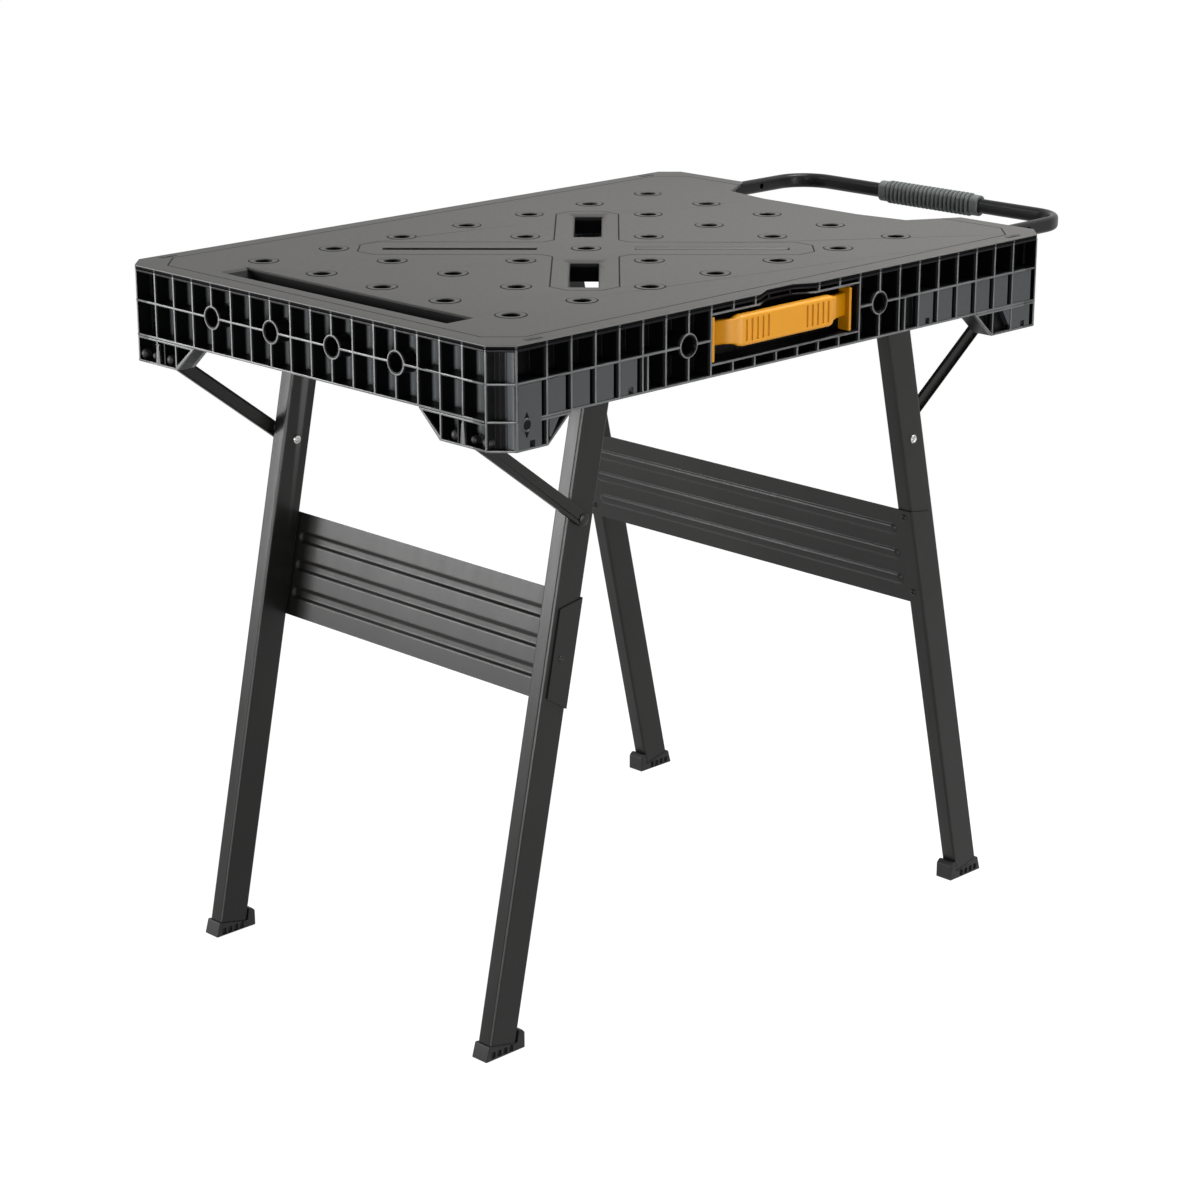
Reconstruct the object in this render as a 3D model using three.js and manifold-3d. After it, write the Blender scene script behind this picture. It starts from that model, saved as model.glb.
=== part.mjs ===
// Folding workbench: a moulded deck on ribbed skirts, two folding steel leg frames with drop braces,
// a carry handle in the front skirt and a pull bar that slides out of the right end.
// Millimetres, +Z up. X runs along the bench, front is -Y, and the feet stand on z = 0.
// The sizes are given from the middle of the deck.
import * as THREE from 'three';
import { mergeVertices } from 'three/addons/utils/BufferGeometryUtils.js';
import Module from 'manifold-3d';

const wasm = await Module();
wasm.setup();

// Table top
const LENGTH = 855;
const WIDTH = 600;
const HEIGHT = 780;
const HALF_L = LENGTH / 2;
const HALF_W = WIDTH / 2;
const DECK_T = 4.5;
const CORNER_CUT = 21;
const GAP = 0.3;
const SKIRT_H = 77.5;
const LUG_DROP = 29;
const RIB_T = 2.4;
const RIB_CLEAR = 7;
const WALL_T = 2.5;

// Dog holes, hand slots and clamp grooves share one grid, a little left of the middle
const GRID_X0 = -17.5;
const GRID_MARGIN_X = 29.1;
const GRID_MARGIN_Y = 6;
const HOLE_PITCH_X = (LENGTH - 2 * GRID_MARGIN_X) / 8;
const HOLE_PITCH_Y = (WIDTH - 2 * GRID_MARGIN_Y) / 6;
const HOLE_R = 10;
const HOLE_COLUMNS = 3;
const HOLE_ROWS = 2;
const HOLE_SIDES = 16;
const ROUND_SIDES = 12;
const SLOT_L = 133;
const SLOT_W = 31;
const SLOT_COLLAR = 3;
const SLOT_DEPTH = 23;
const SLOT_CHAMFER = 8;
const SLOT_CHAMFER_DEPTH = 3;
const GROOVE_L = 158;
const GROOVE_FLOOR = 2;
const GROOVE_SLOPE = 7;
const GROOVE_DEPTH = 6;
const GROOVE_BACK = 3.5;
const DIAGONAL = Math.PI / 4;

// Tool tray along the left end
const TRAY_IN = 39.5;
const TRAY_W = 36;
const TRAY_END_IN = 120;
const TRAY_X = [-HALF_L + TRAY_IN, -HALF_L + TRAY_IN + TRAY_W];
const TRAY_HALF_L = HALF_W - TRAY_END_IN;
const TRAY_DEPTH = 24;
const TRAY_RAMP = 18;

// Notch in the right end that the pull bar slides into, and the scoop over the carry handle
const NOTCH_MOUTH = HALF_W - 127;
const NOTCH_FLOOR = HALF_W - 161;
const NOTCH_BELLY = HALF_W - 226;
const NOTCH_SHOULDER_X = HALF_L - 59.5;
const NOTCH_BELLY_X = HALF_L - 70.5;
const NOTCH_LIP_END_X = HALF_L - 33.5;
const NOTCH_LIP_DROP = 18;
const SCOOP_HALF_TOP = 43;
const SCOOP_HALF_FLOOR = 20;
const SCOOP_DEPTH = 11.5;
const SCOOP_FLARE = 2;

// Ribbed skirts
const END_DEPTH = 22;
const SIDE_DEPTH = 24;
const SHALLOW_DEPTH = 8;
const SOCKET_R = 10.2;
const SOCKET_WALL = 2.8;
const END_COLUMNS = 17;
const WINDOW_COLUMNS = 7;
const LEFT_COLUMNS = 8;
const RIGHT_COLUMNS = 9;
const SHALLOW_X = [-HALF_L + 201.5, HALF_L - 252.5];
const WINDOW_Z = [HEIGHT - 63.5, HEIGHT - 13];
const DRAIN = 7;
const DRAIN_COLUMN = 3;

// Leg frames, mirrored about FOLD_X0; s is the distance outward from it
const FOLD_X0 = -14;
const BRACE_S = HALF_L - 181;
const BRACE_Z = HEIGHT - 214;
const LUG_PIN_S = HALF_L - 30;
const LUG_PIN_Z = HEIGHT - 100.5;
const LEG_W = 38;
const LEG_T = 20;
const LEG_WALL = 1.6;
const LEG_R = 3;
const LEG_OVER = 16;
const LEG_END_Z = 13;
const PANEL_H = 118.5;
const SHEET_T = 1.5;
const BEADS = 3;
const BEAD_PITCH = 31.8;
const BEAD_HALF_W = 7;
const BEAD_RISE = 4;
const BEAD_INSET = 20.5;
const FLANGE_REACH = 32;
const FLANGE_TAPER = 9;
const FOOT_OUT = 23.3;
const FOOT_IN = 32.7;
const FOOT_SIDE = 1.3;
const TOE_Z = 22;
const TOE_EDGE = 4;
const PLUG_L = 25;
const FOOT_SLOTS = 4;
const FOOT_SLOT = [5, 7, 3];
const FOOT_SLOT_PITCH = 8.5;
const BRACE_T = 5;
const SIDES = {
  left: {
    out: -1, tilt: THREE.MathUtils.degToRad(11.7), pivotZ: HEIGHT - 64, legY: HALF_W - 72.5,
    braceIn: HALF_W - 62.2, kneeToPanel: 83.2, lugColumns: 0, pinFace: -1,
  },
  right: {
    out: 1, tilt: THREE.MathUtils.degToRad(12.9), pivotZ: HEIGHT - 52.5, legY: HALF_W - 39.7,
    braceIn: HALF_W - 57.5, kneeToPanel: 83, lugColumns: 1, pinFace: 1,
  },
};

// Braces, pins, shoes and the rails that the shoes run in
const BRACE_W = 16;
const BRACE_WALL = 1.6;
const BRACE_SOLID_END = 22.8;
const RIVET_R = 3.6;
const RIVET_HEAD_R = 6.5;
const RIVET_HEAD_T = 2;
const PIN_R = 3.5;
const PIN_OVER = 2;
const AXLE_R = 4;
const RUN = 0.3;
const CHEEK_GAP = 1.2;
const SHOE_L = 24;
const SHOE_H = 16;
const SHOE_RUN = 0.5;
const LEFT_RAIL_Y = [HALF_W - 93.7, HALF_W - 83];
const RIGHT_RAIL_Y = [HALF_W - 28.2, HALF_W - 10.8];
const LEFT_RAIL_X = [-HALF_L + 25, -HALF_L + 223.5];
const RIGHT_RAIL_X = [HALF_L - 247, HALF_L - 25.5];

// Pull bar and grip
const BAR_H = 18;
const BAR_T = 11;
const BAR_WALL = 1.5;
const OVAL_STEPS = 3;
const OVAL_FLAT = 0.2;
const BAR_HALF_W = HALF_W - 88;
const BAR_BAY = BAR_HALF_W + 8.5;
const BAR_X = HALF_L + 157;
const BAR_TAIL_X = HALF_L - 165.5;
const BAR_LOCK_X = HALF_L + 72.5;
const BAR_DROP = 18.5;
const BAR_Z = HEIGHT - BAR_DROP;
const BAR_BEND_R = 44.5;
const BAR_BEND_STEPS = 6;
const BAR_LOCK_R = 3.5;
const GUIDE_X = [HALF_L - 133.5, HALF_L - 105.5];
const GUIDE_WALL = 2;
const GRIP_HALF_L = 78;
const GRIP_RINGS = 20;
const GRIP_RING_T = 3;
const GRIP_RING_RISE = 3;
const GRIP_CORE = 2;
const GRIP_COLLAR = 9;

// Derived levels
const DECK_UNDER = HEIGHT - DECK_T;
const SKIRT_TOP = DECK_UNDER - GAP;
const SKIRT_Z = HEIGHT - SKIRT_H;
const LUG_Z = SKIRT_Z - LUG_DROP;
const LUG_TOP = SKIRT_Z - GAP;
const MID_Z = HEIGHT - SKIRT_H / 2;
const END_PITCH = HOLE_PITCH_Y / 3;
const SIDE_PITCH = HOLE_PITCH_X / 3;
const END_INNER = HALF_L - END_DEPTH - WALL_T;
const SIDE_INNER = HALF_W - SIDE_DEPTH - WALL_T;
const POST_Y = END_PITCH * END_COLUMNS / 2;
const POST_X = HALF_L - CORNER_CUT;
const SOCKET_OUT = SOCKET_R + SOCKET_WALL;
const WINDOW_HALF = WINDOW_COLUMNS / 2 * SIDE_PITCH;
const WINDOW_X = [GRID_X0 - WINDOW_HALF + RIB_T / 2, GRID_X0 + WINDOW_HALF - RIB_T / 2];
const BIG = 60;

// Carry handle
const HANDLE_X = [WINDOW_X[0] + GAP, WINDOW_X[1] - 12.5];
const HANDLE_Z = [HEIGHT - 62, HEIGHT - 15];
const HANDLE_GRIP_Z = [HEIGHT - 50, HEIGHT - 17];
const HANDLE_GRIP_X = [HANDLE_X[0] + 34.2, HANDLE_X[1] - 38];
const HANDLE_FRONT = HALF_W + 8;
const HANDLE_GRIP_T = 12;
const HANDLE_PLATE = 3.6;
const HANDLE_PLATE_Y = [HALF_W - 16, HALF_W];
const HANDLE_ARM_T = 8;
const HANDLE_GROOVES = 5;
const HANDLE_GROOVE = 2.6;
const HANDLE_GROOVE_PITCH = 6.4;
const HANDLE_GROOVE_DEPTH = 1.2;
const HANDLE_GROOVE_END = 3;

// The row origin lies on the floor under the middle of the whole bench with its bar drawn out
const GRIP_GROW = 2 * (GAP + GRIP_CORE);
const GRIP_OUT = BAR_X + (BAR_T + GRIP_GROW) / 2 + GRIP_RING_RISE;
const ORIGIN_X = (GRIP_OUT - HALF_L) / 2;
const ORIGIN_Y = (HALF_W - HANDLE_FRONT) / 2;

const BLACK_PLASTIC = { color: 0x1c1d1e, roughness: 0.55, metalness: 0 };
const DECK_PLASTIC = { color: 0x4a4a4a, roughness: 0.7, metalness: 0 };
const YELLOW = { color: 0xf2a81d, roughness: 0.45, metalness: 0 };
const BLACK_STEEL = { color: 0x2b2b2c, roughness: 0.42, metalness: 0.2 };
const BAR_STEEL = { color: 0x1f1f20, roughness: 0.4, metalness: 0.2 };
const GREY_RUBBER = { color: 0x737a7a, roughness: 0.8, metalness: 0 };
const BARE_STEEL = { color: 0x9a9a9a, roughness: 0.35, metalness: 0.9 };
const FOOT_PLASTIC = { color: 0x202021, roughness: 0.65, metalness: 0 };
const SHOE_PLASTIC = { color: 0x303133, roughness: 0.6, metalness: 0 };

// Solid helpers
const WELD = 1e-4;

/** A closed geometry as a solid, with shared vertices merged and slivers at poles dropped. */
function solidOf(geometry) {
  const bare = geometry.clone();
  bare.deleteAttribute('normal');
  bare.deleteAttribute('uv');
  const merged = mergeVertices(bare, WELD);
  const triangles = [];
  for (let i = 0; i < merged.index.count; i += 3) {
    const [a, b, c] = merged.index.array.slice(i, i + 3);
    if (a !== b && b !== c && c !== a) {
      triangles.push(a, b, c);
    }
  }
  return new wasm.Manifold(new wasm.Mesh({
    numProp: 3,
    vertProperties: new Float32Array(merged.attributes.position.array),
    triVerts: new Uint32Array(triangles),
  }));
}

/** The triangles of a solid as an indexed geometry. */
function geometryOf(solid) {
  const mesh = solid.getMesh();
  const geometry = new THREE.BufferGeometry();
  geometry.setAttribute('position', new THREE.BufferAttribute(new Float32Array(mesh.vertProperties), 3));
  geometry.setIndex(new THREE.BufferAttribute(new Uint32Array(mesh.triVerts), 1));
  geometry.computeVertexNormals();
  return geometry;
}

const sorted = (a, b) => [Math.min(a, b), Math.max(a, b)];
const unite = (solids) => solids.reduce((sum, next) => sum.add(next));
const cut = (solid, tools) => tools.reduce((rest, tool) => rest.subtract(tool), solid);
const range = (count) => Array.from({ length: count }, (_, i) => i);

/** A box from its spans along X, Y and Z. */
function box(x, y, z) {
  const spans = [x, y, z].map(([a, b]) => sorted(a, b));
  const size = spans.map(([a, b]) => b - a);
  const geometry = new THREE.BoxGeometry(...size);
  geometry.translate(...spans.map(([a, b]) => (a + b) / 2));
  return solidOf(geometry);
}

const EXTRUDE_BASES = {
  x: [new THREE.Vector3(0, 1, 0), new THREE.Vector3(0, 0, 1), new THREE.Vector3(1, 0, 0)],
  y: [new THREE.Vector3(1, 0, 0), new THREE.Vector3(0, 0, 1), new THREE.Vector3(0, -1, 0)],
  z: [new THREE.Vector3(1, 0, 0), new THREE.Vector3(0, 1, 0), new THREE.Vector3(0, 0, 1)],
};

/** An outline extruded along one axis; its points give the two other coordinates in XYZ order. */
function prism(points, axis, from, to) {
  const [low, high] = sorted(from, to);
  const shape = new THREE.Shape(points.map(([u, v]) => new THREE.Vector2(u, v)));
  const geometry = new THREE.ExtrudeGeometry(shape, { depth: high - low, bevelEnabled: false });
  geometry.applyMatrix4(new THREE.Matrix4().makeBasis(...EXTRUDE_BASES[axis]));
  const shift = new THREE.Vector3();
  shift[axis] = axis === 'y' ? high : low;
  geometry.translate(shift.x, shift.y, shift.z);
  return solidOf(geometry);
}

/** The outline of a circle. */
function circle([u, v], radius, sides) {
  return range(sides).map((i) => {
    const angle = (i + 0.5) * 2 * Math.PI / sides;
    return [u + radius * Math.cos(angle), v + radius * Math.sin(angle)];
  });
}

/** The outline of a rectangle with round corners, centred at a point. */
function roundRect([u, v], width, height, radius, steps) {
  const corners = [[1, 1, 0], [-1, 1, 1], [-1, -1, 2], [1, -1, 3]];
  return corners.flatMap(([su, sv, quarter]) => range(steps + 1).map((i) => {
    const angle = (quarter + i / steps) * Math.PI / 2;
    return [
      u + su * (width / 2 - radius) + radius * Math.cos(angle),
      v + sv * (height / 2 - radius) + radius * Math.sin(angle),
    ];
  }));
}

/** The outline of a bar with round ends between two points. */
function stadium([u0, v0], [u1, v1], radius, steps) {
  const heading = Math.atan2(v1 - v0, u1 - u0);
  const end = (u, v, start) => range(steps + 1).map((i) => {
    const angle = start + i / steps * Math.PI;
    return [u + radius * Math.cos(angle), v + radius * Math.sin(angle)];
  });
  return [...end(u1, v1, heading - Math.PI / 2), ...end(u0, v0, heading + Math.PI / 2)];
}

/** A cutter whose sides slope in below a face at z = top: wider at the face, the outline at its floor. */
function slopedCutter(length, width, slope, depth, angle, [x, y], top) {
  const shape = new THREE.Shape(
    [[-1, -1], [1, -1], [1, 1], [-1, 1]].map(([u, v]) => new THREE.Vector2(u * length / 2, v * width / 2)),
  );
  const geometry = new THREE.ExtrudeGeometry(shape, {
    depth: DECK_T,
    bevelEnabled: true,
    bevelSize: slope,
    bevelThickness: depth,
    bevelSegments: 1,
  });
  geometry.rotateZ(angle);
  geometry.translate(x, y, top);
  return solidOf(geometry);
}

/** A box turned about a vertical axis through its middle. */
function turnedBox(length, width, angle, [x, y], [low, high]) {
  const geometry = new THREE.BoxGeometry(length, width, high - low);
  geometry.rotateZ(angle);
  geometry.translate(x, y, (low + high) / 2);
  return solidOf(geometry);
}

/** A path through knots that each carry their own direction, sampled at the knots. */
class KnotPath extends THREE.Curve {
  constructor(knots) {
    super();
    this.knots = knots;
  }

  knot(t) {
    return this.knots[Math.round(t * (this.knots.length - 1))];
  }

  getPoint(t) {
    return this.knot(t).point.clone();
  }

  getTangent(t) {
    return this.knot(t).heading.clone();
  }

  getPointAt(u) {
    return this.getPoint(u);
  }

  getTangentAt(u) {
    return this.getTangent(u);
  }
}

const bench = new THREE.Group();
bench.name = 'folding_workbench';
const table = new THREE.Group();
table.position.set(-ORIGIN_X, -ORIGIN_Y, 0);
bench.add(table);

/** Adds one named sub-part to a group. */
function addPart(group, name, solid, finish) {
  const mesh = new THREE.Mesh(geometryOf(solid), new THREE.MeshStandardMaterial(finish));
  mesh.name = name;
  group.add(mesh);
}

const gridPoint = (i, j) => [GRID_X0 + i * HOLE_PITCH_X, j * HOLE_PITCH_Y];
const SLOT_CELLS = [[1, 1], [-1, -1]];
const GROOVE_CELLS = [[1, -1], [-1, 1]];

/** Grid cells that hold a dog hole: all but the two slots and the two grooves. */
function holeCells() {
  const taken = [...SLOT_CELLS, ...GROOVE_CELLS].map(String);
  const columns = range(2 * HOLE_COLUMNS + 1).map((i) => i - HOLE_COLUMNS);
  const rows = range(2 * HOLE_ROWS + 1).map((j) => j - HOLE_ROWS);
  return columns.flatMap((i) => rows.map((j) => [i, j])).filter((cell) => !taken.includes(String(cell)));
}

/** Outline of the notch from the front mouth to the rear one, shifted towards the left end. */
function notchLine(shift, mouthX) {
  const t = (HALF_L - mouthX) / (HALF_L - NOTCH_SHOULDER_X);
  const mouthY = NOTCH_MOUTH + (NOTCH_FLOOR - NOTCH_MOUTH) * t;
  const front = [
    [mouthX, -mouthY - shift],
    [NOTCH_SHOULDER_X - shift, -NOTCH_FLOOR - shift / 2],
    [NOTCH_BELLY_X - shift, -NOTCH_BELLY],
  ];
  return [...front, ...front.map(([x, y]) => [x, -y]).reverse()];
}

/** Outline of the scoop over the carry handle, as a cutter that runs out past the front edge. */
function scoopOutline() {
  const floor = -HALF_W + SCOOP_DEPTH;
  return [
    [GRID_X0 - SCOOP_HALF_TOP - SCOOP_FLARE, -HALF_W - 1],
    [GRID_X0 + SCOOP_HALF_TOP + SCOOP_FLARE, -HALF_W - 1],
    [GRID_X0 + SCOOP_HALF_FLOOR, floor],
    [GRID_X0 - SCOOP_HALF_FLOOR, floor],
  ];
}

/** The deck: plate, slot collars, groove backs, tray and notch lip, all in one moulding. */
function deck() {
  const outline = [
    [-HALF_L, -HALF_W + CORNER_CUT],
    [-HALF_L + CORNER_CUT, -HALF_W],
    [HALF_L - CORNER_CUT, -HALF_W],
    [HALF_L, -HALF_W + CORNER_CUT],
    ...notchLine(0, HALF_L),
    [HALF_L, HALF_W - CORNER_CUT],
    [HALF_L - CORNER_CUT, HALF_W],
    [-HALF_L + CORNER_CUT, HALF_W],
    [-HALF_L, HALF_W - CORNER_CUT],
  ];
  const plate = prism(outline, 'z', DECK_UNDER, HEIGHT);
  const inPlate = DECK_UNDER + DECK_T / 2;
  const collars = SLOT_CELLS.map((cell) => turnedBox(
    SLOT_L + 2 * SLOT_COLLAR, SLOT_W + 2 * SLOT_COLLAR, DIAGONAL, gridPoint(...cell),
    [HEIGHT - SLOT_DEPTH, inPlate],
  ));
  const grooveBacks = GROOVE_CELLS.map((cell) => turnedBox(
    GROOVE_L + 2 * GROOVE_SLOPE, GROOVE_FLOOR + 2 * GROOVE_SLOPE, -DIAGONAL, gridPoint(...cell),
    [HEIGHT - GROOVE_DEPTH - GROOVE_BACK, inPlate],
  ));
  const trayFloor = HEIGHT - TRAY_DEPTH;
  const tray = box(
    [TRAY_X[0] - WALL_T, TRAY_X[1] + WALL_T],
    [-TRAY_HALF_L - WALL_T, TRAY_HALF_L + WALL_T],
    [trayFloor - WALL_T, inPlate],
  );
  const lip = prism(
    [...notchLine(0, NOTCH_LIP_END_X), ...notchLine(WALL_T, NOTCH_LIP_END_X).reverse()],
    'z', DECK_UNDER - NOTCH_LIP_DROP, inPlate,
  );
  const body = unite([plate, ...collars, ...grooveBacks, tray, lip]);
  const above = HEIGHT + 1;
  const bores = holeCells().map((cell) => prism(
    circle(gridPoint(...cell), HOLE_R, HOLE_SIDES), 'z', DECK_UNDER - 1, above,
  ));
  const slots = SLOT_CELLS.flatMap((cell) => [
    turnedBox(SLOT_L, SLOT_W, DIAGONAL, gridPoint(...cell), [HEIGHT - BIG, above]),
    slopedCutter(
      SLOT_L, SLOT_W, SLOT_CHAMFER, SLOT_CHAMFER_DEPTH, DIAGONAL, gridPoint(...cell), HEIGHT,
    ),
  ]);
  const grooves = GROOVE_CELLS.map((cell) => slopedCutter(
    GROOVE_L, GROOVE_FLOOR, GROOVE_SLOPE, GROOVE_DEPTH, -DIAGONAL, gridPoint(...cell), HEIGHT,
  ));
  const hollow = prism([
    [-TRAY_HALF_L, HEIGHT],
    [-TRAY_HALF_L + TRAY_RAMP, trayFloor],
    [TRAY_HALF_L - TRAY_RAMP, trayFloor],
    [TRAY_HALF_L, HEIGHT],
    [TRAY_HALF_L, above],
    [-TRAY_HALF_L, above],
  ], 'x', ...TRAY_X);
  const scoop = prism(scoopOutline(), 'z', DECK_UNDER - 1, above);
  return cut(body, [...bores, ...slots, ...grooves, hollow, scoop]);
}

/** The lattice under the deck, halfway between the dog holes. */
function deckRibs() {
  const zSpan = [HEIGHT - SLOT_DEPTH, DECK_UNDER - GAP];
  const reachY = 1.5 * HOLE_PITCH_Y + RIB_T / 2;
  const reachX = [TRAY_X[1] + WALL_T + RIB_T, NOTCH_BELLY_X - WALL_T - RIB_T];
  const alongX = [-1.5, -0.5, 0.5, 1.5].map((j) => box(
    reachX, [j * HOLE_PITCH_Y - RIB_T / 2, j * HOLE_PITCH_Y + RIB_T / 2], zSpan,
  ));
  const alongY = range(2 * HOLE_COLUMNS + 1).map((i) => {
    const x = GRID_X0 + (i - HOLE_COLUMNS + 0.5) * HOLE_PITCH_X;
    return box([x - RIB_T / 2, x + RIB_T / 2], [-reachY, reachY], zSpan);
  });
  const ties = [-0.25, 0.25].map((j) => box(
    [GRID_X0 - HOLE_PITCH_X / 2, GRID_X0 + HOLE_PITCH_X / 2],
    [j * HOLE_PITCH_Y - RIB_T / 2, j * HOLE_PITCH_Y + RIB_T / 2],
    zSpan,
  ));
  const endClear = SLOT_COLLAR + RIB_CLEAR;
  const sideClear = SLOT_COLLAR + GAP;
  const slotRoom = SLOT_CELLS.map((cell) => turnedBox(
    SLOT_L + 2 * endClear, SLOT_W + 2 * sideClear, DIAGONAL, gridPoint(...cell), [HEIGHT - BIG, HEIGHT],
  ));
  const grooveRoom = GROOVE_CELLS.map((cell) => turnedBox(
    GROOVE_L + 2 * GROOVE_SLOPE + 2 * GAP, GROOVE_FLOOR + 2 * GROOVE_SLOPE + 2 * GAP, -DIAGONAL,
    gridPoint(...cell), [HEIGHT - GROOVE_DEPTH - GROOVE_BACK - GAP, HEIGHT],
  ));
  return cut(unite([...alongX, ...alongY, ...ties]), [...slotRoom, ...grooveRoom]);
}

const LOWER_ROW = [SKIRT_Z + RIB_T, MID_Z - RIB_T / 2];
const UPPER_ROW = [MID_Z + RIB_T / 2, SKIRT_TOP - RIB_T];

/** Spans of the cells between rib lines; the outermost run out past the skirt's own ends. */
function cellSpans(lines, from, to) {
  const edges = [from, ...lines.flatMap((line) => [line - RIB_T / 2, line + RIB_T / 2]), to];
  return range(edges.length / 2).map((i) => [edges[2 * i], edges[2 * i + 1]]);
}

/** An end skirt with open cells; the right one drops its upper row where the pull bar slides in. */
function endSkirt(out) {
  const halfW = POST_Y - RIB_T / 2 - GAP;
  const xSpan = [out * END_INNER, out * HALF_L];
  const cellX = [out * (END_INNER + WALL_T), out * (HALF_L + 1)];
  const lines = range(END_COLUMNS - 1).map((i) => (i + 1 - END_COLUMNS / 2) * END_PITCH);
  const columns = cellSpans(lines, -halfW - 1, halfW + 1);
  const lowerCells = columns.map((y) => box(cellX, y, LOWER_ROW));
  if (out > 0) {
    const lower = box(xSpan, [-halfW, halfW], [SKIRT_Z, MID_Z + RIB_T / 2]);
    const towers = [-1, 1].map((side) => box(xSpan, [side * BAR_BAY, side * halfW], [MID_Z, SKIRT_TOP]));
    const towerRib = (END_COLUMNS / 2 - 1) * END_PITCH;
    const towerCells = [-1, 1].flatMap((side) => [
      [BAR_BAY + RIB_T, towerRib - RIB_T / 2],
      [towerRib + RIB_T / 2, halfW + 1],
    ].map(([a, b]) => box(cellX, [side * a, side * b], UPPER_ROW)));
    return cut(unite([lower, ...towers]), [...lowerCells, ...towerCells]);
  }
  const block = box(xSpan, [-halfW, halfW], [SKIRT_Z, SKIRT_TOP]);
  const cells = [...lowerCells, ...columns.map((y) => box(cellX, y, UPPER_ROW))];
  const centres = [-1.5, -0.5, 0.5, 1.5].map((j) => [j * HOLE_PITCH_Y, MID_Z]);
  const sockets = centres.map((c) => prism(
    circle(c, SOCKET_OUT, HOLE_SIDES), 'x', out * (END_INNER + 1), out * HALF_L,
  ));
  const bores = centres.map((c) => prism(circle(c, SOCKET_R, ROUND_SIDES), 'x', ...cellX));
  return cut(cut(block, cells).add(unite(sockets)), bores);
}

/** A long skirt: deep cells above, shallow panels below at both ends; the front has the handle window. */
function sideSkirt(side, hasWindow) {
  const halfX = POST_X - RIB_T / 2 - GAP;
  const ySpan = (a, b) => [side * a, side * b];
  const leftLines = range(LEFT_COLUMNS).map((k) => GRID_X0 - WINDOW_HALF - k * SIDE_PITCH).reverse();
  const rightLines = range(RIGHT_COLUMNS).map((k) => GRID_X0 + WINDOW_HALF + k * SIDE_PITCH);
  const midLines = range(WINDOW_COLUMNS - 1).map((k) => GRID_X0 - WINDOW_HALF + (k + 1) * SIDE_PITCH);
  const deep = ySpan(HALF_W - SIDE_DEPTH, HALF_W + 1);
  const shallow = ySpan(HALF_W - SHALLOW_DEPTH, HALF_W + 1);
  const inWindow = ([a, b]) => hasWindow && a > WINDOW_X[0] - 1 && b < WINDOW_X[1] + 1;

  const allLines = [...leftLines, ...midLines, ...rightLines];
  const lowerLines = [...allLines, ...SHALLOW_X].sort((a, b) => a - b);
  const upperCells = cellSpans(allLines, -halfX - 1, halfX + 1)
    .filter((x) => !inWindow(x))
    .map((x) => box(x, deep, UPPER_ROW));
  const lowerCells = cellSpans(lowerLines, -halfX - 1, halfX + 1)
    .filter((x) => !inWindow(x))
    .map((x) => {
      const isShallow = x[1] < SHALLOW_X[0] || x[0] > SHALLOW_X[1];
      return box(x, isShallow ? shallow : deep, LOWER_ROW);
    });
  const pocketY = ySpan(SIDE_INNER - 1, HALF_W - SHALLOW_DEPTH - WALL_T);
  const pockets = [
    box([-halfX + WALL_T, SHALLOW_X[0] - RIB_T / 2], pocketY, LOWER_ROW),
    box([SHALLOW_X[1] + RIB_T / 2, halfX - WALL_T], pocketY, LOWER_ROW),
  ];
  const drainY = ySpan(HALF_W - SHALLOW_DEPTH - WALL_T - 1, HALF_W - SHALLOW_DEPTH + 1);
  const drains = [leftLines[LEFT_COLUMNS - 1 - DRAIN_COLUMN], rightLines[DRAIN_COLUMN + 1]]
    .map((line) => line - SIDE_PITCH / 2)
    .map((x) => box([x - DRAIN / 2, x + DRAIN / 2], drainY, [LOWER_ROW[0], LOWER_ROW[0] + DRAIN]));
  const postY1 = POST_Y - RIB_T / 2 + SHALLOW_DEPTH + GAP;
  const cornerRoom = [-1, 1].map((end) => box(
    [end * (END_INNER - GAP), end * HALF_L], ySpan(SIDE_INNER - 1, postY1), [SKIRT_Z - 1, SKIRT_TOP + 1],
  ));
  const windowCuts = [];
  if (hasWindow) {
    const strip = cellSpans(midLines, ...WINDOW_X);
    windowCuts.push(
      box(WINDOW_X, ySpan(SIDE_INNER - 1, HALF_W + 1), WINDOW_Z),
      ...strip.map((x) => box(x, deep, [WINDOW_Z[1] + RIB_T, UPPER_ROW[1]])),
      ...strip.map((x) => box(x, deep, [LOWER_ROW[0], WINDOW_Z[0] - RIB_T])),
      prism(scoopOutline(), 'z', WINDOW_Z[1] - 1, HEIGHT),
    );
  }
  const centres = [leftLines[LEFT_COLUMNS - 2], rightLines[1]].map((x) => [x, MID_Z]);
  const sockets = centres.map((c) => prism(
    circle(c, SOCKET_OUT, HOLE_SIDES), 'y', ...ySpan(SIDE_INNER + 1, HALF_W),
  ));
  const bores = centres.map((c) => prism(circle(c, SOCKET_R, ROUND_SIDES), 'y', ...deep));
  const block = box([-halfX, halfX], ySpan(SIDE_INNER, HALF_W), [SKIRT_Z, SKIRT_TOP]);
  const hollows = [...upperCells, ...lowerCells, ...pockets, ...drains];
  const ribbed = cut(block, [...hollows, ...cornerRoom, ...windowCuts]);
  return cut(ribbed.add(unite(sockets)), bores);
}

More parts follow.
